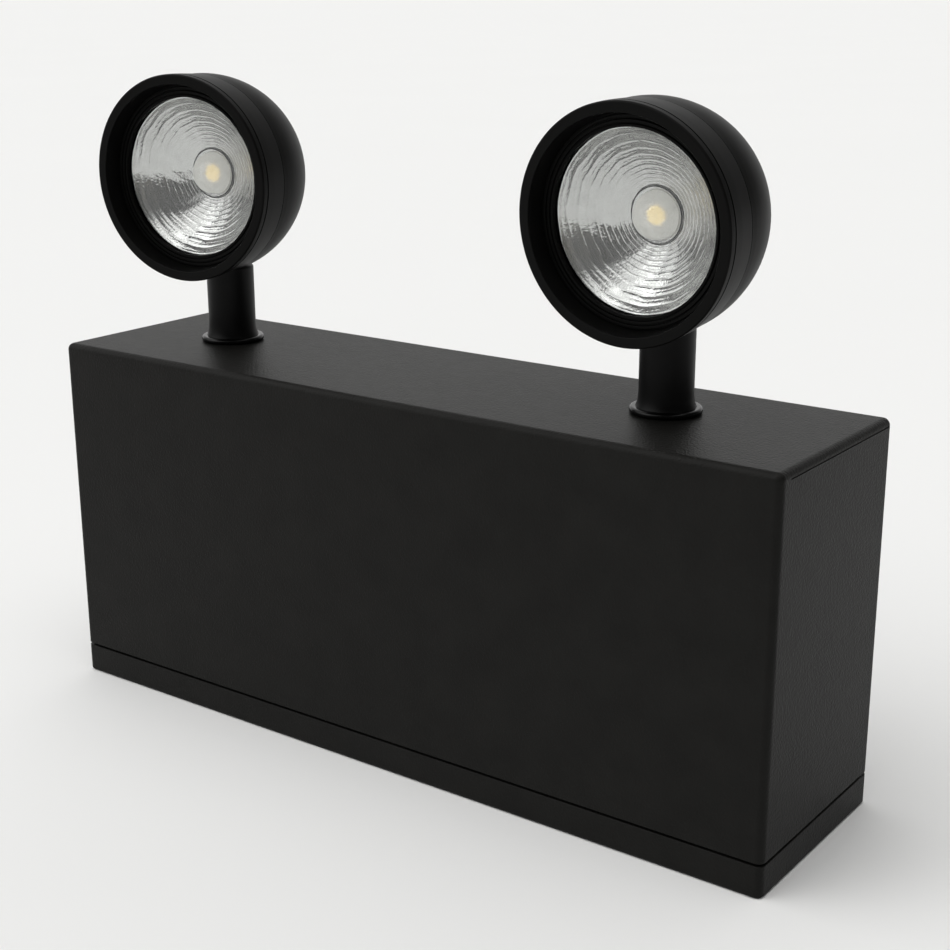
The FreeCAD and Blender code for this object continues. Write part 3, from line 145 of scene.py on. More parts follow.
def rounded_outline(corners: list[Triple], steps: int = 5, closed: bool = True) -> Outline:
    """Round every corner of a polygon with an arc that is tangent to its two sides.

    At a corner with sides in directions a (back) and b (forward), the arc of radius q starts q / tan(half)
    along each side, where half is half of the angle between the sides, and its centre lies q / sin(half)
    along their bisector. With the radius to the right and the axis upward, the material is on the left of
    the path.

    Args:
        corners: Each corner's radius from the axis, distance along it and rounding, in millimetres.
        steps: How many points each arc gets.
        closed: Whether the last corner joins the first. An open outline keeps its two ends sharp.

    Returns:
        The rounded outline in metres.
    """
    table = np.array(corners, float) * MM
    spots, rounding = table[:, :2], table[:, 2]
    back = np.roll(spots, 1, axis=0) - spots
    ahead = np.roll(spots, -1, axis=0) - spots
    back_length = np.linalg.norm(back, axis=1, keepdims=True)
    ahead_length = np.linalg.norm(ahead, axis=1, keepdims=True)
    back = back / back_length
    ahead = ahead / ahead_length
    half = 0.5 * np.arccos(np.clip((back * ahead).sum(axis=1), -1.0, 1.0))
    room = CORNER_SHARE * np.minimum(back_length, ahead_length)[:, 0]
    reach = np.minimum(rounding / np.tan(half), room)
    radius = reach * np.tan(half)
    bisector = back + ahead
    bisector = bisector / np.linalg.norm(bisector, axis=1, keepdims=True)
    centre = spots + bisector * (radius / np.sin(half))[:, None]
    turn = np.sign(ahead[:, 0] * back[:, 1] - ahead[:, 1] * back[:, 0])
    start = spots + back * reach[:, None] - centre
    share = np.linspace(0.0, 1.0, steps)
    sweep = turn[:, None] * (np.pi - 2.0 * half)[:, None] * share
    cosine, sine = np.cos(sweep), np.sin(sweep)
    arm = np.stack([start[:, None, 0] * cosine - start[:, None, 1] * sine,
                    start[:, None, 0] * sine + start[:, None, 1] * cosine], axis=2)
    points = centre[:, None, :] + arm
    normals = arm / np.linalg.norm(arm, axis=2, keepdims=True) * turn[:, None, None]
    points, normals = points.reshape(-1, 2), normals.reshape(-1, 2)
    if closed:
        return Outline(points, normals)
    inner = slice(steps, -steps)
    first = np.array([[ahead[0, 1], -ahead[0, 0]]])
    last = np.array([[-back[-1, 1], back[-1, 0]]])
    return Outline(np.vstack([spots[:1], points[inner], spots[-1:]]),
                   np.vstack([first, normals[inner], last]), closed=False)


def wrapped_quads(rows: int, columns: int) -> np.ndarray:
    """Number the faces of a grid of points that closes on itself both ways.

    Args:
        rows: How many rows of points the grid has.
        columns: How many points a row has.

    Returns:
        The four vertex numbers of each point's face, in an array of shape (rows, columns, 4).
    """
    number = np.arange(rows * columns).reshape(rows, columns)
    ahead = np.roll(number, -1, axis=1)
    return np.stack([number, ahead, np.roll(ahead, -1, axis=0), np.roll(number, -1, axis=0)], axis=2)


def turned_grid(outline: Outline, axle: Axle, segments: int) -> Surface:
    """Turn an outline round an axis: point (r, w) at angle t goes to (r cos t, w, r sin t).

    Args:
        outline: The cut through the piece. An open one starts and ends on the axis, closed by a fan.
        axle: The axis that it turns round.
        segments: How many steps the full turn has.

    Returns:
        The surface. Each face of a fan repeats one vertex number.
    """
    angle = np.arange(segments) * (TURN / segments)
    ring = np.stack([np.cos(angle), np.zeros(segments), np.sin(angle)], axis=1)
    along = np.array([0.0, 1.0, 0.0])
    body = outline.points if outline.closed else outline.points[1:-1]
    shade = outline.normals if outline.closed else outline.normals[1:-1]
    points = (body[:, None, 0:1] * ring + body[:, None, 1:2] * along).reshape(-1, 3)
    normals = (shade[:, None, 0:1] * ring + shade[:, None, 1:2] * along).reshape(-1, 3)
    quads = wrapped_quads(len(body), segments)
    faces = quads.reshape(-1, 4)
    if not outline.closed:
        poles = np.array([[0.0, outline.points[0, 1], 0.0], [0.0, outline.points[-1, 1], 0.0]])
        tips = np.array([[0.0, outline.normals[0, 1], 0.0], [0.0, outline.normals[-1, 1], 0.0]])
        first = np.full(segments, len(points))
        last = first + 1
        start = np.stack([first, quads[0, :, 1], quads[0, :, 0], quads[0, :, 0]], axis=1)
        end = np.stack([quads[-1, :, 0], quads[-1, :, 1], last, last], axis=1)
        faces = np.vstack([start, quads[:-1].reshape(-1, 4), end])
        points, normals = np.vstack([points, poles]), np.vstack([normals, tips])
    return axle.to_light(points), axle.turned(normals), faces


def outward(points: np.ndarray, normals: np.ndarray, faces: np.ndarray) -> np.ndarray:
    """Turn the faces over if their winding points against the normals.

    Args:
        points: The vertices.
        normals: The wanted normal at each vertex.
        faces: Rows of four vertex numbers.

    Returns:
        The faces, wound so that they point the way the normals do.
    """
    across = points[faces[:, 2]] - points[faces[:, 0]]
    along = points[faces[:, 1]] - points[faces[:, 0]]
    facing = np.cross(along, across)
    agreement = (facing * normals[faces[:, 0]]).sum()
    return faces if agreement > 0.0 else faces[:, ::-1]


def make_piece(name: str, parts: list[Surface], keep_normals: bool = True) -> bpy.types.Object:
    """Put one or more surfaces in one mesh object, at the origin.

    Args:
        name: The object's name.
        parts: The surfaces.
        keep_normals: Whether the surfaces' own normals shade it. Otherwise its faces' smooth normals do.

    Returns:
        The new object, linked to the scene.
    """
    start = np.cumsum([0] + [len(part[0]) for part in parts[:-1]])
    points = np.vstack([part[0] for part in parts])
    normals = np.vstack([part[1] for part in parts])
    faces = np.vstack([outward(*part) + shift for part, shift in zip(parts, start)])
    kept = faces != np.roll(faces, -1, axis=1)
    mesh = bpy.data.meshes.new(name)
    mesh.from_pydata(points.tolist(), [], [row[use].tolist() for row, use in zip(faces, kept)])
    mesh.shade_smooth()
    if keep_normals:
        mesh.normals_split_custom_set_from_vertices(normals.tolist())
    mesh.update()
    return add_object(name, mesh)


# ---------------------------------------------------------------- finishes


class Bench:
    """A material while its nodes are being wired. Patterns read Object coordinates, in metres."""

    def __init__(self, name: str) -> None:
        """Start a material with one Principled shader.

        Args:
            name: The material's name.
        """
        self.material = bpy.data.materials.new(name)
        self.material.use_nodes = True
        self.tree = self.material.node_tree
        self.surface = self.tree.nodes["Principled BSDF"]
        self.place = self.node("ShaderNodeTexCoord").outputs["Object"]

    def node(self, kind: str, **settings: object) -> bpy.types.Node:
        """Add a node.

        Args:
            kind: The node's type.
            settings: Values of its properties, or of its input sockets, with _ for a space in a name.

        Returns:
            The new node.
        """
        made = self.tree.nodes.new(kind)
        for key, value in settings.items():
            if hasattr(made, key):
                setattr(made, key, value)
            else:
                made.inputs[key.replace("_", " ")].default_value = value
        return made

    def link(self, source: Socket, target: Socket) -> None:
        """Join an output to an input."""
        self.tree.links.new(source, target)

    def set(self, **values: object) -> None:
        """Set the shader's own sockets, with _ for a space."""
        for key, value in values.items():
            self.surface.inputs[key.replace("_", " ")].default_value = value

    def noise(self, grain: float, detail: float = 2.0, stretch: Triple = (1, 1, 1)) -> Socket:
        """Soft lumps of a given size.

        Args:
            grain: The lumps' size in metres.
            detail: How many finer layers lie on them.
            stretch: How much the pattern is squeezed along X, Y and Z.

        Returns:
            The pattern's value, about 0 to 1.
        """
        mapping = self.node("ShaderNodeMapping", Scale=stretch)
        made = self.node("ShaderNodeTexNoise", Scale=1.0 / grain, Detail=detail)
        self.link(self.place, mapping.inputs["Vector"])
        self.link(mapping.outputs["Vector"], made.inputs["Vector"])
        return made.outputs["Fac"]

    def paint(self, value: Socket, first: Triple, second: Triple) -> None:
        """Colour the surface: the first colour up to a value of 0.3, the second from 0.7 on.

        Args:
            value: The pattern that the colour follows.
            first: The colour at low values.
            second: The colour at high values.
        """
        made = self.node("ShaderNodeValToRGB")
        ends = made.color_ramp.elements
        ends[0].position, ends[1].position = 0.3, 0.7
        ends[0].color, ends[1].color = (*first, 1.0), (*second, 1.0)
        self.link(value, made.inputs["Fac"])
        self.link(made.outputs["Color"], self.surface.inputs["Base Color"])

    def polish(self, value: Socket, low: float, high: float) -> None:
        """Let the roughness follow a pattern.

        Args:
            value: The pattern, 0 to 1.
            low: The roughness where it is 0.
            high: The roughness where it is 1.
        """
        made = self.node("ShaderNodeMapRange", To_Min=low, To_Max=high)
        self.link(value, made.inputs["Value"])
        self.link(made.outputs["Result"], self.surface.inputs["Roughness"])

    def emboss(self, *layers: tuple[Socket, float]) -> None:
        """Lay relief on the surface, one layer over another.

        Args:
            layers: Pairs of a pattern and its height in metres.
        """
        under = None
        for pattern, height in layers:
            made = self.node("ShaderNodeBump", Strength=1.0, Distance=height)
            self.link(pattern, made.inputs["Height"])
            if under is not None:
                self.link(under.outputs["Normal"], made.inputs["Normal"])
            under = made
        self.link(under.outputs["Normal"], self.surface.inputs["Normal"])


def tinted(colour: Triple, share: float) -> Triple:
    """The colour made lighter or darker by a share of itself."""
    return tuple(min(1.0, channel * (1.0 + share)) for channel in colour)


class Finish:
    """How a surface looks. Each kind of finish wires its own nodes."""

    def wire(self, bench: Bench) -> None:
        """Wire the finish's nodes into the material on the bench."""
        raise NotImplementedError

    def make(self, name: str) -> bpy.types.Material:
        """Make the finish's material.

        Args:
            name: The material's name.

        Returns:
            The new material.
        """
        bench = Bench(name)
        self.wire(bench)
        return bench.material


@dataclass(frozen=True)
class Coating(Finish):
    """Paint, powder coat, plastic or rubber: a fine grain over a soft orange peel, slightly uneven."""

    colour: Triple
    roughness: float = 0.45
    gloss: float = 0.5
    grain: float = 0.4 * MM
    grain_height: float = 0.012 * MM
    peel: float = 1.2 * MM
    peel_height: float = 0.02 * MM
    cloud: float = 14 * MM
    unevenness: float = 0.12
    smear: float = 5 * MM
    smear_share: float = 0.06
    coat: float = 0.0
    coat_roughness: float = 0.04
    # Painted light: an emission of the surface's own colour, so a part glows by itself.
    painted_glow: float = 0.0

    def wire(self, bench: Bench) -> None:
        """Wire the clouded colour, the painted glow, the smears, the peel and the grain.

        Args:
            bench: The material that is being wired.
        """
        bench.set(Specular_IOR_Level=self.gloss, Coat_Weight=self.coat, Coat_Roughness=self.coat_roughness)
        # Painted light: the emission brightens the surface by itself, in place of light from the surround.
        bench.set(Emission_Color=(*self.colour, 1.0), Emission_Strength=self.painted_glow)
        darker, lighter = tinted(self.colour, -self.unevenness), tinted(self.colour, self.unevenness)
        bench.paint(bench.noise(self.cloud, 3.0), darker, lighter)
        spread = self.smear_share * self.roughness
        bench.polish(bench.noise(self.smear), self.roughness - spread, self.roughness + spread)
        peel, grain = bench.noise(self.peel, 1.0), bench.noise(self.grain)
        bench.emboss((peel, self.peel_height), (grain, self.grain_height))


@dataclass(frozen=True)
class PlatedMetal(Finish):
    """Bare, plated or cast metal with brush marks along one direction and a slight bloom."""

    colour: Triple
    roughness: float = 0.3
    unevenness: float = 0.3
    bloom: Triple = (0.5, 0.5, 0.42)
    cloud: float = 9 * MM
    brushing: Triple = (1.0, 1.0, 14.0)
    mark: float = 2.0 * MM
    mark_height: float = 0.006 * MM
    grain: float = 0.5 * MM

    def wire(self, bench: Bench) -> None:
        """Wire the bloom, the brush marks and a fine grain.

        Args:
            bench: The material that is being wired.
        """
        bench.set(Metallic=1.0)
        bench.paint(bench.noise(self.cloud, 3.0), self.colour, self.bloom)
        marks = bench.noise(self.mark, 3.0, self.brushing)
        spread = self.unevenness * self.roughness
        bench.polish(marks, self.roughness - spread, self.roughness + spread)
        bench.emboss((marks, self.mark_height), (bench.noise(self.grain), 0.5 * self.mark_height))


@dataclass(frozen=True)
class BeatenMirror(Finish):
    """The reflector's bright metallised face, with small beaten dimples."""

    colour: Triple = (0.58, 0.58, 0.565)
    roughness: float = 0.08
    cloud: float = 3 * MM
    unevenness: float = 0.08
    smear: float = 1.2 * MM
    smooth_share: float = 0.8
    rough_share: float = 1.3
    dimple: float = 0.8 * MM
    dimple_height: float = 0.09 * MM
    pitting: float = 0.35 * MM
    pitting_height: float = 0.008 * MM

    def wire(self, bench: Bench) -> None:
        """Wire the clouded metal, the smears, the dimples and the fine pitting.

        Args:
            bench: The material that is being wired.
        """
        bench.set(Metallic=1.0)
        bench.paint(bench.noise(self.cloud, 3.0), tinted(self.colour, -self.unevenness), self.colour)
        smears = bench.noise(self.smear)
        bench.polish(smears, self.roughness * self.smooth_share, self.roughness * self.rough_share)
        dimples, pits = bench.noise(self.dimple, 1.5), bench.noise(self.pitting, 1.0)
        bench.emboss((dimples, self.dimple_height), (pits, self.pitting_height))


@dataclass(frozen=True)
class ClearPlastic(Finish):
    """Clear or tinted transparent plastic with a faint moulding ripple."""

    tint: Triple = (0.97, 0.98, 0.98)
    roughness: float = 0.01
    index: float = 1.49
    ripple: float = 6.0 * MM
    ripple_height: float = 0.01 * MM
    cloud: float = 12 * MM
    unevenness: float = 0.02
    clearness: float = 1.0
    # Painted light: an emission of the tint's colour, so the plastic glows by itself.
    painted_glow: float = 0.0

    def wire(self, bench: Bench) -> None:
        """Wire the clear body, its tint, its painted glow and the ripple.

        Args:
            bench: The material that is being wired.
        """
        bench.set(Transmission_Weight=self.clearness, Roughness=self.roughness, IOR=self.index)
        # Painted light: the emission brightens the plastic by itself, in place of light from the surround.
        bench.set(Emission_Color=(*self.tint, 1.0), Emission_Strength=self.painted_glow)
        bench.paint(bench.noise(self.cloud), tinted(self.tint, -self.unevenness), self.tint)
        bench.emboss((bench.noise(self.ripple, 1.0), self.ripple_height))


@dataclass(frozen=True)
class Striped(Finish):
    """A stack of sheets or a layer of wire: fine even stripes across one direction."""

    colour: Triple
    gap_colour: Triple
    pitch: float = 0.5 * MM
    across: str = "Z"
    wobble: float = 0.6
    metallic: float = 0.0
    roughness: float = 0.45
    depth: float = 0.06 * MM
    grain: float = 0.8 * MM
    grain_height: float = 0.01 * MM

    def wire(self, bench: Bench) -> None:
        """Wire the stripes. At a scale of 1 they repeat twenty times in a length of one full turn.

        Args:
            bench: The material that is being wired.
        """
        bench.set(Metallic=self.metallic, Roughness=self.roughness)
        stripes = bench.node("ShaderNodeTexWave", bands_direction=self.across, Detail=1.0,
                             Scale=TURN / (20.0 * self.pitch), Distortion=self.wobble)
        bench.link(bench.place, stripes.inputs["Vector"])
        bench.paint(stripes.outputs["Fac"], self.gap_colour, self.colour)
        bench.emboss((stripes.outputs["Fac"], self.depth), (bench.noise(self.grain), self.grain_height))


@dataclass(frozen=True)
class SolderMask(Finish):
    """A circuit board's lacquer, with copper tracks that show through it as raised lines."""

    colour: Triple
    track_colour: Triple
    track_pitch: float = 5.0 * MM
    track_height: float = 0.05 * MM
    track_width: float = 0.08
    run_length: float = 1.7
    run_spacing: float = 0.6
    roughness: float = 0.3
    coat: float = 0.4
    coat_roughness: float = 0.1
    grain: float = 1.0 * MM
    grain_height: float = 0.004 * MM

    def wire(self, bench: Bench) -> None:
        """Wire the tracks, which are the joints of a brick pattern on X and Z, and the lacquer over them.

        Args:
            bench: The material that is being wired.
        """
        bench.set(Roughness=self.roughness, Coat_Weight=self.coat, Coat_Roughness=self.coat_roughness)
        black, white = (0.0, 0.0, 0.0, 1.0), (1.0, 1.0, 1.0, 1.0)
        tracks = bench.node("ShaderNodeTexBrick", Scale=1.0 / self.track_pitch, Mortar_Size=self.track_width,
                            Brick_Width=self.run_length, Row_Height=self.run_spacing,
                            Color1=black, Color2=black, Mortar=white)
        upright = bench.node("ShaderNodeMapping", Rotation=(0.5 * np.pi, 0.0, 0.0))
        bench.link(bench.place, upright.inputs["Vector"])
        bench.link(upright.outputs["Vector"], tracks.inputs["Vector"])
        bench.paint(tracks.outputs["Color"], self.colour, self.track_colour)
        grain = bench.noise(self.grain)
        bench.emboss((tracks.outputs["Fac"], self.track_height), (grain, self.grain_height))


POWDER_COAT = Coating((0.0098, 0.0096, 0.0088), roughness=0.42, gloss=0.08, grain=0.7 * MM,
                      grain_height=0.19 * MM, peel=1.2 * MM, peel_height=0.05 * MM)
MOULDED_BLACK = Coating((0.0035, 0.0035, 0.0033), roughness=0.42, gloss=0.06, grain=0.3 * MM,
                        grain_height=0.006 * MM, peel=2.5 * MM, peel_height=0.01 * MM)
FINISHES = {
    "housing_black": POWDER_COAT,
    "panel_black": POWDER_COAT,
    "collar_black": Coating((0.002, 0.002, 0.002), roughness=0.2, gloss=0.16, grain_height=0.001 * MM,
                            peel=3.0 * MM, peel_height=0.004 * MM),
    "stem_black": Coating((0.003, 0.003, 0.003), roughness=0.42, gloss=0.12, grain_height=0.004 * MM,
                          peel_height=0.006 * MM),
    "bezel_black": MOULDED_BLACK,
    "shell_black": MOULDED_BLACK,
    "steel_zinc": PlatedMetal((0.60, 0.61, 0.62), bloom=(0.52, 0.50, 0.40)),
    "rubber_black": Coating((0.02, 0.02, 0.02), roughness=0.7, gloss=0.3, grain=0.6 * MM,
                            grain_height=0.02 * MM),
    "battery_grey": Coating((0.18, 0.19, 0.20), roughness=0.5, grain=0.5 * MM, grain_height=0.02 * MM),
    "battery_lid_black": Coating((0.03, 0.03, 0.03), roughness=0.45, grain=0.5 * MM,
                                 grain_height=0.015 * MM),
    "tin": PlatedMetal((0.70, 0.70, 0.67), roughness=0.35, bloom=(0.62, 0.60, 0.56)),
    "circuit_green": SolderMask((0.012, 0.09, 0.035), (0.03, 0.2, 0.07)),
    "core_steel": Striped((0.33, 0.33, 0.34), (0.06, 0.06, 0.065), metallic=0.9),
    "coil_yellow": Striped((0.72, 0.50, 0.10), (0.40, 0.25, 0.04), pitch=1.6 * MM, across="X"),
    "capacitor_black": Coating((0.015, 0.015, 0.03), roughness=0.3, grain_height=0.003 * MM),
    "terminal_green": Coating((0.03, 0.26, 0.08), roughness=0.4),
    "lead_red": Coating((0.45, 0.015, 0.012), roughness=0.38, peel=3.0 * MM),
    "lead_black": Coating((0.012, 0.012, 0.012), roughness=0.38, peel=3.0 * MM),
    "switch_chrome": PlatedMetal((0.75, 0.76, 0.77), roughness=0.14, bloom=(0.70, 0.71, 0.72),
                                 mark_height=0.001 * MM),
    "button_red": Coating((0.50, 0.012, 0.010), roughness=0.25, grain_height=0.002 * MM, coat=0.3),
    "switch_black": Coating((0.02, 0.02, 0.02), roughness=0.5),
    "indicator_green": ClearPlastic((0.10, 0.75, 0.22), roughness=0.12),
    "lens_clear": ClearPlastic(),
    # Painted light: the dome's faint glow brightens it in place of the light that the lens keeps from it.
    "diode_dome": ClearPlastic((0.95, 0.95, 0.92), roughness=0.14, ripple=1.1 * MM, ripple_height=0.2 * MM,
                               clearness=0.55, painted_glow=0.16),
    "reflector_bright": BeatenMirror(),
    "board_white": SolderMask((0.72, 0.72, 0.69), (0.80, 0.80, 0.76), track_pitch=3.0 * MM),
    # Painted light: the phosphor's glow brightens it in place of the light that the lens and dome keep from it.
    "phosphor_yellow": Coating((0.96, 0.70, 0.24), roughness=0.5, grain=0.15 * MM, grain_height=0.02 * MM,
                               painted_glow=0.6),
    "sink_aluminium": PlatedMetal((0.58, 0.58, 0.60), roughness=0.42, bloom=(0.50, 0.50, 0.51),
                                  brushing=(1.0, 1.0, 1.0), mark=0.8 * MM, mark_height=0.02 * MM),
}


@dataclass
class FinishShop:
    """Makes each finish once, and puts it on the frame's pieces and on new ones."""

    made: dict[str, bpy.types.Material] = field(default_factory=dict)

    def material(self, name: str) -> bpy.types.Material:
        """Give out a finish's material, made when it is first asked for.

        Args:
            name: The finish's name.

        Returns:
            The material.
        """
        if name not in self.made:
            self.made[name] = FINISHES[name].make(f"{name}_finish")
        return self.made[name]

    def dress_frame(self, record: dict) -> None:
        """Put its finish on every piece of the frame.

        Args:
            record: The frame's record, whose subparts name each piece's slot.
        """
        for subpart in record["subparts"]:
            piece = frame["nodes"][subpart["node"]]
            piece.data.materials.clear()
            piece.data.materials.append(self.material(subpart["material_slot"]))

    def dress(self, piece: bpy.types.Object, slot: str, body: str, *nodes: str, finish: str = "") -> None:
        """Finish a new piece and tie it to the frame.

        Args:
            piece: The new piece.
            slot: The record's material slot that it takes its finish from.
            body: The moving body that it rides on.
            nodes: The frame's pieces that it stands for.
            finish: The name of its finish, where that isn't the slot's own.
        """
        piece.data.materials.append(self.material(finish or slot))
        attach(piece, body)
        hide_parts(*nodes)
        LOG.info("%s: %d faces, rides on %s", piece.name, len(piece.data.polygons), body)


# ---------------------------------------------------------------- the lamp heads


@dataclass
class LampHead:
    """One round lamp head: front ring, ridged lens ring, lens, reflector and light-emitting diode.

    Its own frame has its origin in the middle of the front plane, with the axis running to the rear. Lengths
    are in millimetres.
    """

    side: Side
    shop: FinishShop
    ring_radius: float = 36.95
    land: float = 3.5
    ring_round: float = 0.7
    groove_at: float = 2.6
    groove_width: float = 0.5
    groove_depth: float = 0.4
    barrel_draft: float = 0.2
    shell_radius: float = 36.25
    shell_lip: float = 0.05
    seam_at: float = 13.95
    seam_bevel: float = 0.3
    spigot_step: float = 2.2
    spigot_length: float = 1.4
    spigot_wall: float = 2.0
    flange_gap: float = 0.2
    flange_wall: float = 1.5
    recess_depth: float = 7.7
    recess_draft: float = 0.6
    lens_radius: float = 32.0
    lens_thickness: float = 1.8
    lens_round: float = 0.25
    retainer_bore: float = 28.5
    retainer_height: float = 1.4
    retainer_gap: float = 0.05
    ridge_width: float = 0.8
    ridge_height: float = 0.7
    ridge_slope: float = 0.15
    ridges: int = 3
    bowl_rim: float = 28.3
    bowl_lip: float = 29.0
    bowl_neck: float = 9.1
    bowl_depth: float = 12.0
    bowl_wall: float = 0.8
    bowl_lip_drop: float = 0.02
    inner_pitch: float = 1.0
    outer_pitch: float = 2.9
    facet_bulge: float = 0.06
    facet_fade: float = 0.3
    fine_share: float = 0.5
    fine_bulge: float = 0.08
    fine_level: float = 0.75
    fine_swing: float = 0.12
    wave_seed: int = 7
    wave_count: int = 8
    wave_lobes: tuple[int, int] = (2, 19)
    wave_twist: float = 0.35
    wave_shift: float = 0.02
    wave_height: float = 0.008
    dome_radius: float = 7.6
    dome_edge: float = 0.05
    dome_steps: int = 28
    emitter_radius: float = 2.1
    emitter_height: float = 0.5
    seat_radius: float = 9.0
    seat_width: float = 0.3
    seat_height: float = 0.6
    cup_gap: float = 0.15
    cup_height: float = 0.35
    boss_circle: float = 30.3
    boss_radius: float = 1.7
    boss_sunk: float = 1.0
    boss_end: float = 23.1
    boss_degrees: Triple = (90.0, 210.0, 330.0)
    hair: float = 0.01
    ring_segments: int = 288
    window_segments: int = 192
    diode_segments: int = 96
    emitter_segments: int = 64
    boss_segments: int = 24
    bowl_segments: int = 560
    bowl_rows: int = 160
    bowl_rear_rows: int = 12
    axle: Axle = field(init=False)

    def __post_init__(self) -> None:
        """Find the lamp's axis from the frame's lens and tilt joint.

        The lens is a flat disc, so the direction in which its points spread least is the lamp's axis, and
        the middle of their box along that axis is the lens's middle.
        """
        lens = frame["nodes"][f"lens_{self.side.value}"].data
        points = np.empty(len(lens.vertices) * 3)
        lens.vertices.foreach_get("co", points)
        points = points.reshape(-1, 3)
        right = tilt_direction(self.side)
        spread = np.linalg.svd(points - points.mean(axis=0), full_matrices=False)[2]
        along = spread[2] - right * (spread[2] @ right)
        along = along / np.linalg.norm(along) * np.sign(along[1])
        up = np.cross(right, along)
        basis = np.stack([right, along, up])
        local = points @ basis.T
        middle = 0.5 * (local.min(axis=0) + local.max(axis=0))
        middle[1] -= (self.recess_depth + 0.5 * self.lens_thickness) * MM
        self.axle = Axle(middle @ basis, right, along, up)

    @property
    def lens_back(self) -> float:
        """How far the lens's rear face lies behind the front plane."""
        return self.recess_depth + self.lens_thickness

    @property
    def bowl_bottom(self) -> float:
        """How far the diode's board lies behind the front plane."""
        return self.lens_back + self.bowl_depth

    @property
    def diode_back(self) -> float:
        """How far the diode's rear face lies behind the front plane, two hairs into its board."""
        return self.bowl_bottom + 2.0 * self.hair

    def name(self, word: str) -> str:
        """A piece's name on this side."""
        return f"{word}_{self.side.value}"

    def add(self, word: str, parts: list[Surface], slot: str, *nodes: str, finish: str = "",
            keep_normals: bool = True) -> None:
        """Make a piece that rides on this head.

        Args:
            word: The piece's name without the side.
            parts: Its surfaces.
            slot: Its material slot.
            nodes: The names, without the side, of the frame's pieces that it stands for.
            finish: The name of its finish, where that isn't the slot's own.
            keep_normals: Whether the surfaces' own normals shade it.
        """
        piece = make_piece(self.name(word), parts, keep_normals)
        self.shop.dress(piece, slot, self.name("head"), *map(self.name, nodes), finish=finish)

    def build_front_ring(self) -> None:
        """Turn the front ring: land, deep recess, groove behind the front edge, lens seat and bosses."""
        front = self.ring_radius
        inner = front - self.land
        wall = inner - self.recess_draft
        rear = self.shell_radius + self.shell_lip
        spigot = self.shell_radius - self.spigot_step
        spigot_bore = spigot - self.spigot_wall
        spigot_end = self.seam_at + self.spigot_length
        flange = self.bowl_lip + self.flange_gap
        flange_end = self.lens_back + self.flange_wall
        floor = front - self.groove_depth
        groove_end = self.groove_at + self.groove_width
        outline = rounded_outline([
            (inner, 0.0, 0.3), (front, 0.0, self.ring_round), (front, self.groove_at, 0.1),
            (floor, self.groove_at, 0.06), (floor, groove_end, 0.06), (front, groove_end, 0.1),
            (front - self.barrel_draft, self.seam_at / 2, 3.0), (rear, self.seam_at - self.seam_bevel, 0.12),
            (rear - self.seam_bevel, self.seam_at, 0.08), (spigot, self.seam_at, 0.08),
            (spigot, spigot_end, 0.1), (spigot_bore, spigot_end, 0.1), (spigot_bore, flange_end, 0.1),
            (flange, flange_end, 0.1), (flange, self.lens_back, 0.05), (wall, self.lens_back, 0.05),
            (wall, self.recess_depth - self.retainer_height, 0.4),
        ], steps=6)
        parts = [turned_grid(outline, self.axle, self.ring_segments)]
        boss_start = self.lens_back + self.boss_sunk
        boss = rounded_outline([
            (0.0, boss_start, 0.0), (self.boss_radius, boss_start, 0.2),
            (self.boss_radius, self.boss_end, 0.2), (0.0, self.boss_end, 0.0),
        ], closed=False)
        for turn in np.radians(self.boss_degrees):
            arm = np.array([np.cos(turn), 0.0, np.sin(turn)]) * self.boss_circle * MM
            parts.append(turned_grid(boss, replace(self.axle, origin=self.axle.to_light(arm)),
                                     self.boss_segments))
        self.add("front_ring", parts, "bezel_black", "bezel_ring")

    def build_ridged_ring(self) -> None:
        """Turn the ring that holds the lens, with its low ridges."""
        outer = self.ring_radius - self.land - self.recess_draft - self.retainer_gap
        top = self.recess_depth - self.retainer_height
        crest = top + self.ridge_height
        pitch = (outer - self.retainer_bore) / self.ridges
        corners = [(self.retainer_bore, self.recess_depth, 0.05)]
        for start in self.retainer_bore + pitch * np.arange(self.ridges):
            rise = start + self.ridge_width
            corners += [(start, top, 0.12), (rise, top, 0.12), (rise + self.ridge_slope, crest, 0.05),
                        (start + pitch - self.ridge_slope, crest, 0.05)]
        corners[-1] = (outer, crest, 0.05)
        outline = rounded_outline([*corners, (outer, self.recess_depth, 0.05)], steps=4)
        surface = turned_grid(outline, self.axle, self.ring_segments)
        self.add("ridged_ring", [surface], "bezel_black", "retaining_ring")

    def build_window(self) -> None:
        """Turn the flat clear lens, with softened edges."""
        front, back = self.recess_depth + self.hair, self.lens_back - self.hair
        outline = rounded_outline([
            (0.0, front, 0.0), (self.lens_radius, front, self.lens_round),
            (self.lens_radius, back, self.lens_round), (0.0, back, 0.0),
        ], closed=False)
        self.add("window", [turned_grid(outline, self.axle, self.window_segments)], "lens_clear", "lens")

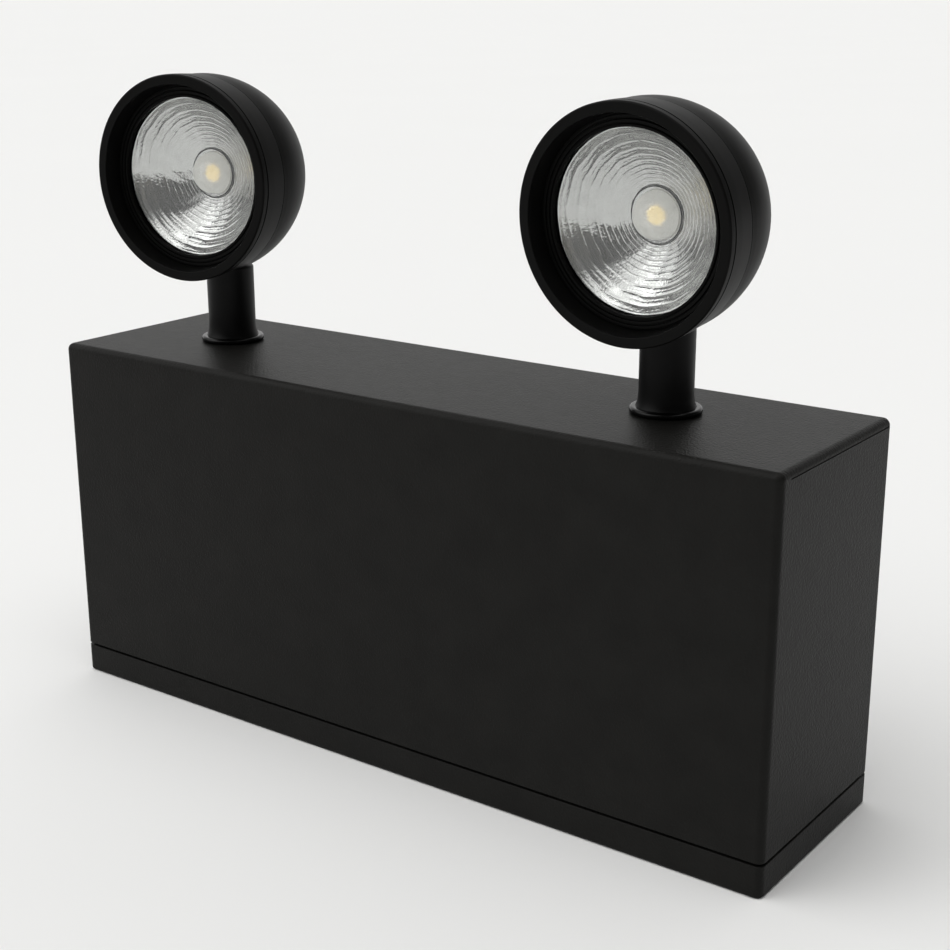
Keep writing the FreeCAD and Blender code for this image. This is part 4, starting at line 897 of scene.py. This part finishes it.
    def facet_relief(self, radius: np.ndarray, angle: np.ndarray) -> np.ndarray:
        """How far the reflector's face stands forward of a plain dish.

        The face is cut in rings whose width grows evenly with the radius, and each ring in finer ones of a
        fixed share of its width. Each ring bulges as a parabola whose height is a fixed share of its width.
        Long low waves, a sum of sines of the angle and the radius with fixed phases, keep the rings from
        looking machined: they shift the rings a little and let the fine ones come and go.

        Args:
            radius: Distances from the axis in millimetres, as a column.
            angle: Angles round the axis, as a row.

        Returns:
            The relief in millimetres, one row for each radius.
        """
        rng = np.random.default_rng(self.wave_seed)
        lobes = rng.integers(*self.wave_lobes, self.wave_count)
        phases = rng.uniform(0.0, TURN, self.wave_count)
        twist = self.wave_twist
        waves = sum(np.sin(k * angle + p + twist * (k % 5) * radius) for k, p in zip(lobes, phases))
        growth = (self.outer_pitch - self.inner_pitch) / (self.bowl_rim - self.bowl_neck)
        width = self.inner_pitch + growth * (radius - self.bowl_neck)
        count = np.log(width / self.inner_pitch) / growth + self.wave_shift * waves
        across = 2.0 * (count - np.floor(count)) - 1.0
        bulge = self.facet_bulge * width * (1.0 - across * across)
        fine = count / self.fine_share
        fine_across = 2.0 * (fine - np.floor(fine)) - 1.0
        fine_bulge = self.fine_bulge * self.fine_share * width * (1.0 - fine_across * fine_across)
        return bulge + fine_bulge * (self.fine_level + self.fine_swing * waves) + self.wave_height * waves

    def build_reflector(self) -> None:
        """Make the dish: part of a sphere through its neck and its rim, with ring facets on the bright face.

        The sphere's centre lies on the axis where the distances to the neck and to the rim are equal. A
        point at radius r is at centre + sqrt(R^2 - r^2), less the facets' relief.
        """
        front, back = self.lens_back, self.bowl_bottom
        rim, neck = self.bowl_rim, self.bowl_neck
        centre = (rim**2 - neck**2 + front**2 - back**2) / (2.0 * (front - back))
        sphere = np.sqrt(rim**2 + (front - centre) ** 2)
        angle = np.arange(self.bowl_segments)[None, :] * (TURN / self.bowl_segments)
        radius = np.linspace(neck, rim, self.bowl_rows)[:, None]
        fade = np.clip(np.minimum(radius - neck, rim - radius) / self.facet_fade, 0.0, 1.0)
        face = centre + np.sqrt(sphere**2 - radius**2) - fade * self.facet_relief(radius, angle)
        rear_radius = np.linspace(self.bowl_lip, neck, self.bowl_rear_rows)[:, None]
        rear = centre + np.sqrt((sphere + self.bowl_wall) ** 2 - rear_radius**2)
        level = np.ones((1, self.bowl_segments))
        height = np.vstack([face, (front + self.bowl_lip_drop) * level, rear * level])
        spread = np.vstack([radius, [[self.bowl_lip]], rear_radius])
        points = np.stack([spread * np.cos(angle), height, spread * np.sin(angle)], axis=2) * MM
        quads = wrapped_quads(len(spread), self.bowl_segments)
        toward = np.zeros_like(points)
        toward[:self.bowl_rows, :, 1] = -1.0
        surface = (self.axle.to_light(points.reshape(-1, 3)), self.axle.turned(toward.reshape(-1, 3)),
                   quads.reshape(-1, 4))
        self.add("mirror", [surface], "reflector_bright", "reflector", keep_normals=False)

    def build_dome(self) -> None:
        """Turn the diode's clear dome: a half sphere with a pocket for the emitter."""
        back = self.diode_back
        turn = np.linspace(0.0, 0.5 * np.pi, self.dome_steps)
        skin = np.stack([self.dome_radius * np.sin(turn), back - self.dome_radius * np.cos(turn)], axis=1)
        shade = np.stack([np.sin(turn), -np.cos(turn)], axis=1)
        pocket = self.emitter_radius - 2.0 * self.hair
        roof = back - self.emitter_height + 2.0 * self.hair
        under = rounded_outline([
            (self.dome_radius - self.dome_edge, back, 0.0), (pocket, back, 0.05), (pocket, roof, 0.05),
            (0.0, roof, 0.0),
        ], closed=False)
        dome = Outline(np.vstack([skin * MM, under.points]), np.vstack([shade, under.normals]), closed=False)
        surface = turned_grid(dome, self.axle, self.diode_segments)
        # Its finish glows faintly: painted light that brightens the dome.
        self.add("dome", [surface], "lens_clear", "led_dome", finish="diode_dome")

    def build_emitter(self) -> None:
        """Turn the small round-edged dot of phosphor under the dome."""
        front = self.diode_back - self.emitter_height
        dot = rounded_outline([
            (0.0, front, 0.0), (self.emitter_radius, front, 0.25),
            (self.emitter_radius, self.diode_back, 0.02), (0.0, self.diode_back, 0.0),
        ], closed=False)
        surface = turned_grid(dot, self.axle, self.emitter_segments)
        # Its finish glows: painted light in place of the light that the lens and dome keep from the phosphor.
        self.add("emitter", [surface], "phosphor_yellow", "led_phosphor")

    def build_diode_seat(self) -> None:
        """Turn the thin dark ring between the diode and the reflector's neck."""
        back, bore = self.diode_back, self.seat_radius - self.seat_width
        front = back - self.seat_height
        seat = rounded_outline([
            (bore, front, 0.08), (self.seat_radius, front, 0.08), (self.seat_radius, back, 0.04),
            (bore, back, 0.04),
        ])
        self.add("diode_seat", [turned_grid(seat, self.axle, self.diode_segments)], "rubber_black")

    def build_diode_cup(self) -> None:
        """Turn the bright sloping ring round the dome's foot."""
        back = self.diode_back
        inner, outer = self.dome_radius + self.cup_gap, self.seat_radius - self.seat_width - self.hair
        cup = rounded_outline([
            (inner, back - 0.5 * self.cup_height, 0.05), (outer, back - self.cup_height, 0.05),
            (outer, back, 0.04), (inner, back, 0.04),
        ])
        self.add("diode_cup", [turned_grid(cup, self.axle, self.diode_segments)], "reflector_bright")

    def build(self) -> None:
        """Make every new piece of the head."""
        self.build_front_ring()
        self.build_ridged_ring()
        self.build_window()
        self.build_reflector()
        self.build_dome()
        self.build_emitter()
        self.build_diode_seat()
        self.build_diode_cup()


# ---------------------------------------------------------------- the box


@dataclass
class Stem:
    """A stem between a collar and a head: spigot, foot that flares out smoothly, tube and tongue.

    Its own frame stands on the box's top, with the axis upward. Lengths are in millimetres.
    """

    side: Side
    shop: FinishShop
    bore: float = 4.0
    bore_edge: float = 0.1
    spigot_radius: float = 6.5
    spigot_length: float = 10.5
    collar_height: float = COLLAR_HEIGHT
    foot_radius: float = 9.8
    foot_edge: float = 0.1
    flare_height: float = 7.0
    flare_steps: int = 20
    radius: float = 8.9
    pivot_rise: float = 34.4
    shoulder_drop: float = 5.2
    shoulder_round: float = 1.2
    shoulder_steps: int = 8
    tongue_half: float = 4.0
    tongue_radius: float = 4.7
    tongue_root: float = 4.0
    eye_radius: float = 2.65
    edge_steps: int = 96
    segments: int = 192
    hair: float = 0.02

    def build_tube(self, axle: Axle) -> Surface:
        """Turn the tube. Its foot leaves the tube's radius as the fourth power of the way down.

        Args:
            axle: The stem's axis, which starts on the box's top.

        Returns:
            The tube's surface.
        """
        shoulder = self.pivot_rise - self.shoulder_drop
        foot = self.collar_height + self.hair
        base = rounded_outline([
            (self.bore, shoulder, 0.0), (self.bore, -self.spigot_length, 0.1),
            (self.spigot_radius, -self.spigot_length, 0.3), (self.spigot_radius, foot, 0.1),
            (self.foot_radius - self.foot_edge, foot, 0.0),
        ], closed=False)
        way = np.linspace(1.0, 0.0, self.flare_steps)
        spread = self.foot_radius - self.radius
        flare = np.stack([self.radius + spread * way**4, foot + self.flare_height * (1.0 - way)], axis=1)
        flare_shade = np.stack([np.full_like(way, self.flare_height), 4.0 * spread * way**3], axis=1)
        flare_shade = flare_shade / np.linalg.norm(flare_shade, axis=1, keepdims=True)
        turn = np.linspace(0.0, 0.5 * np.pi, self.shoulder_steps)
        arc = np.stack([np.cos(turn), np.sin(turn)], axis=1)
        corner = np.array([self.radius, shoulder]) - self.shoulder_round
        top = np.array([[self.bore + self.bore_edge, shoulder]])
        points = np.vstack([base.points, flare * MM, (corner + self.shoulder_round * arc) * MM, top * MM])
        normals = np.vstack([base.normals, flare_shade, arc, [[0.0, 1.0]]])
        return turned_grid(Outline(points, normals), axle, self.segments)

    def build_tongue(self, axle: Axle) -> Surface:
        """Make the tongue: a slab with a round top round the pin's eye.

        The outer edge is the slab's side up to the pin's height and a half circle over it, and each of its
        points faces the point of the eye at the same angle.

        Args:
            axle: The stem's axis, which starts on the box's top.

        Returns:
            The tongue's surface.
        """
        depth = self.shoulder_drop + self.tongue_root
        turn = np.linspace(-0.5 * np.pi, 1.5 * np.pi, self.edge_steps, endpoint=False)
        ray = np.stack([np.cos(turn), np.sin(turn)], axis=1)
        size = np.maximum(np.abs(ray), 1e-6)
        slab = np.minimum(self.tongue_radius / size[:, 0], depth / size[:, 1])
        edge = np.where(ray[:, 1] >= 0.0, self.tongue_radius, slab)[:, None] * ray
        eye = self.eye_radius * ray
        loops = []
        for loop, way in ((edge, -1.0), (edge, 1.0), (eye, 1.0), (eye, -1.0)):
            across = np.full(self.edge_steps, way * self.tongue_half)
            loops.append(np.stack([across, loop[:, 1] + self.pivot_rise, loop[:, 0]], axis=1))
        points = np.vstack(loops)
        outside = np.stack([np.zeros(self.edge_steps), ray[:, 1], ray[:, 0]], axis=1)
        normals = np.vstack([outside, outside, np.zeros_like(outside), np.zeros_like(outside)])
        faces = wrapped_quads(len(loops), self.edge_steps).reshape(-1, 4)
        return axle.to_light(points * MM), axle.turned(normals), faces

    def build(self) -> None:
        """Make the stem. It turns with its pan joint."""
        right, up = tilt_direction(self.side), np.array([0.0, 0.0, 1.0])
        axle = Axle(pan_foot(self.side), right, up, np.cross(right, up))
        name = f"stem_{self.side.value}"
        tube = make_piece(f"turned_{name}", [self.build_tube(axle)])
        self.shop.dress(tube, "stem_black", name, name)
        tongue = make_piece(f"tongue_{self.side.value}", [self.build_tongue(axle)], keep_normals=False)
        tongue.data.shade_flat()
        self.shop.dress(tongue, "stem_black", name, name)


@dataclass
class BatteryBox:
    """The box's own turned trim: the two glossy collars that the stems turn in. Millimetres."""

    shop: FinishShop
    collar_radius: float = 11.8
    collar_height: float = COLLAR_HEIGHT
    collar_round: float = 1.05
    collar_foot: float = 0.8
    collar_bore: float = 6.55
    segments: int = 192

    def build_collars(self) -> None:
        """Turn a collar round each pan joint's axis, standing on the box's top."""
        outline = rounded_outline([
            (self.collar_bore, 0.0, 0.1), (self.collar_radius, 0.0, self.collar_foot),
            (self.collar_radius, self.collar_height, self.collar_round),
            (self.collar_bore, self.collar_height, 0.1),
        ], steps=12)
        right, up, back = np.array([[1.0, 0.0, 0.0], [0.0, 0.0, 1.0], [0.0, -1.0, 0.0]])
        parts = [turned_grid(outline, Axle(pan_foot(side), right, up, back), self.segments) for side in Side]
        self.shop.dress(make_piece("stem_collars", parts), "collar_black", "housing", "collars")

    def build(self) -> None:
        """Make every new piece of the box."""
        self.build_collars()


# ---------------------------------------------------------------- studio


@dataclass(frozen=True)
class SoftPart:
    """A soft bright part of the surround: its direction and brightness, and the limits of its faded edge."""

    direction: Triple
    brightness: float
    outer: float
    inner: float


@dataclass
class Studio:
    """A plain pale floor, a dark surround with soft bright parts, one weak key light, and the camera."""

    floor_reach: float = 60.0
    floor_colour: Triple = (0.86, 0.86, 0.855)
    floor_unevenness: float = 0.006
    floor_cloud: float = 0.4
    floor_roughness: float = 0.9
    floor_gloss: float = 0.05
    sky_colour: Triple = (1.0, 0.998, 0.99)
    sky_dim: float = 0.08
    ceiling: SoftPart = SoftPart((0.15, -0.1, 1.0), 1.85, 0.78, 0.95)
    horizon: SoftPart = SoftPart((-0.6, 0.8, 0.12), 0.95, 0.35, 0.95)
    window: SoftPart = SoftPart((-0.54, -0.52, 0.66), 1.35, 0.7, 0.91)
    key_strength: float = 0.25
    key_spread: float = 0.5
    camera_place: Triple = (0.3391, -0.44245, 0.26725)
    camera_azimuth: float = 36.21
    camera_elevation: float = 16.83
    camera_roll: float = -0.18
    camera_lens: float = 62.16
    camera_sensor: float = 36.0
    camera_near: float = 0.01
    camera_far: float = 500.0

    def build_floor(self) -> None:
        """Lay a wide flat floor under the light, with a faint unevenness in its shade."""
        reach = self.floor_reach
        corners = [(-reach, -reach, 0.0), (reach, -reach, 0.0), (reach, reach, 0.0), (-reach, reach, 0.0)]
        mesh = bpy.data.meshes.new("studio_floor")
        mesh.from_pydata(corners, [], [(0, 1, 2, 3)])
        floor = add_object("studio_floor", mesh)
        bench = Bench("studio_floor_finish")
        bench.set(Roughness=self.floor_roughness, Specular_IOR_Level=self.floor_gloss)
        darker = tinted(self.floor_colour, -self.floor_unevenness)
        bench.paint(bench.noise(self.floor_cloud), darker, self.floor_colour)
        mesh.materials.append(bench.material)

    def build_surround(self) -> None:
        """Light the scene from a dark surround with three soft bright parts.

        They are a round part of the ceiling, a wide low part behind the light on the left, and a round
        window high at the left in front, which is the main light. Each one's brightness rises along a smooth
        step as the product of the view direction and the part's own direction goes from its outer limit to
        its inner one.
        """
        world = bpy.data.worlds.new("studio_surround")
        bpy.context.scene.world = world
        world.use_nodes = True
        tree = world.node_tree
        place = tree.nodes.new("ShaderNodeTexCoord")
        total = None
        for part in (self.ceiling, self.horizon, self.window):
            facing = tree.nodes.new("ShaderNodeVectorMath")
            facing.operation = "DOT_PRODUCT"
            facing.inputs[1].default_value = Vector(part.direction).normalized()
            tree.links.new(place.outputs["Generated"], facing.inputs[0])
            rise = tree.nodes.new("ShaderNodeMapRange")
            rise.interpolation_type = "SMOOTHSTEP"
            rise.inputs["From Min"].default_value = part.outer
            rise.inputs["From Max"].default_value = part.inner
            rise.inputs["To Max"].default_value = part.brightness
            tree.links.new(facing.outputs["Value"], rise.inputs["Value"])
            added = tree.nodes.new("ShaderNodeMath")
            added.operation = "ADD"
            added.inputs[0].default_value = self.sky_dim
            if total is not None:
                tree.links.new(total.outputs["Value"], added.inputs[0])
            tree.links.new(rise.outputs["Result"], added.inputs[1])
            total = added
        background = tree.nodes["Background"]
        background.inputs["Color"].default_value = (*self.sky_colour, 1.0)
        tree.links.new(total.outputs["Value"], background.inputs["Strength"])

    def build_key(self) -> None:
        """Add a weak, smaller key light in the middle of the window."""
        lamp = bpy.data.lights.new("studio_key", "SUN")
        lamp.energy = self.key_strength
        lamp.angle = self.key_spread
        key = add_object("studio_key", lamp)
        key.rotation_euler = Vector(self.window.direction).to_track_quat("Z", "Y").to_euler()

    def build_camera(self) -> None:
        """Put the camera in front, to the right and a little above, with its small roll."""
        turn, rise, roll = np.radians([self.camera_azimuth, self.camera_elevation, self.camera_roll])
        back = Vector((np.sin(turn) * np.cos(rise), -np.cos(turn) * np.cos(rise), np.sin(rise)))
        right = Vector((np.cos(turn), np.sin(turn), 0.0))
        level = Matrix((right, back.cross(right), back)).transposed().to_4x4()
        data = bpy.data.cameras.new("studio_camera")
        data.lens = self.camera_lens
        data.sensor_width = self.camera_sensor
        data.clip_start, data.clip_end = self.camera_near, self.camera_far
        camera = add_object("studio_camera", data)
        camera.matrix_world = Matrix.Translation(self.camera_place) @ level @ Matrix.Rotation(roll, 4, "Z")
        bpy.context.scene.camera = camera

    def build(self) -> None:
        """Set the whole studio up, with colours shown as they are."""
        bpy.context.scene.view_settings.view_transform = "Standard"
        self.build_floor()
        self.build_surround()
        self.build_key()
        self.build_camera()


# ---------------------------------------------------------------- the whole light


def main() -> None:
    """Build the light's looks and the studio round it."""
    logging.basicConfig(level=logging.INFO, format="%(name)s: %(message)s")
    Studio().build()
    shop = FinishShop()
    shop.dress_frame(frame["record"])
    BatteryBox(shop).build()
    for side in Side:
        Stem(side, shop).build()
        LampHead(side, shop).build()


if __name__ == "__main__":
    main()
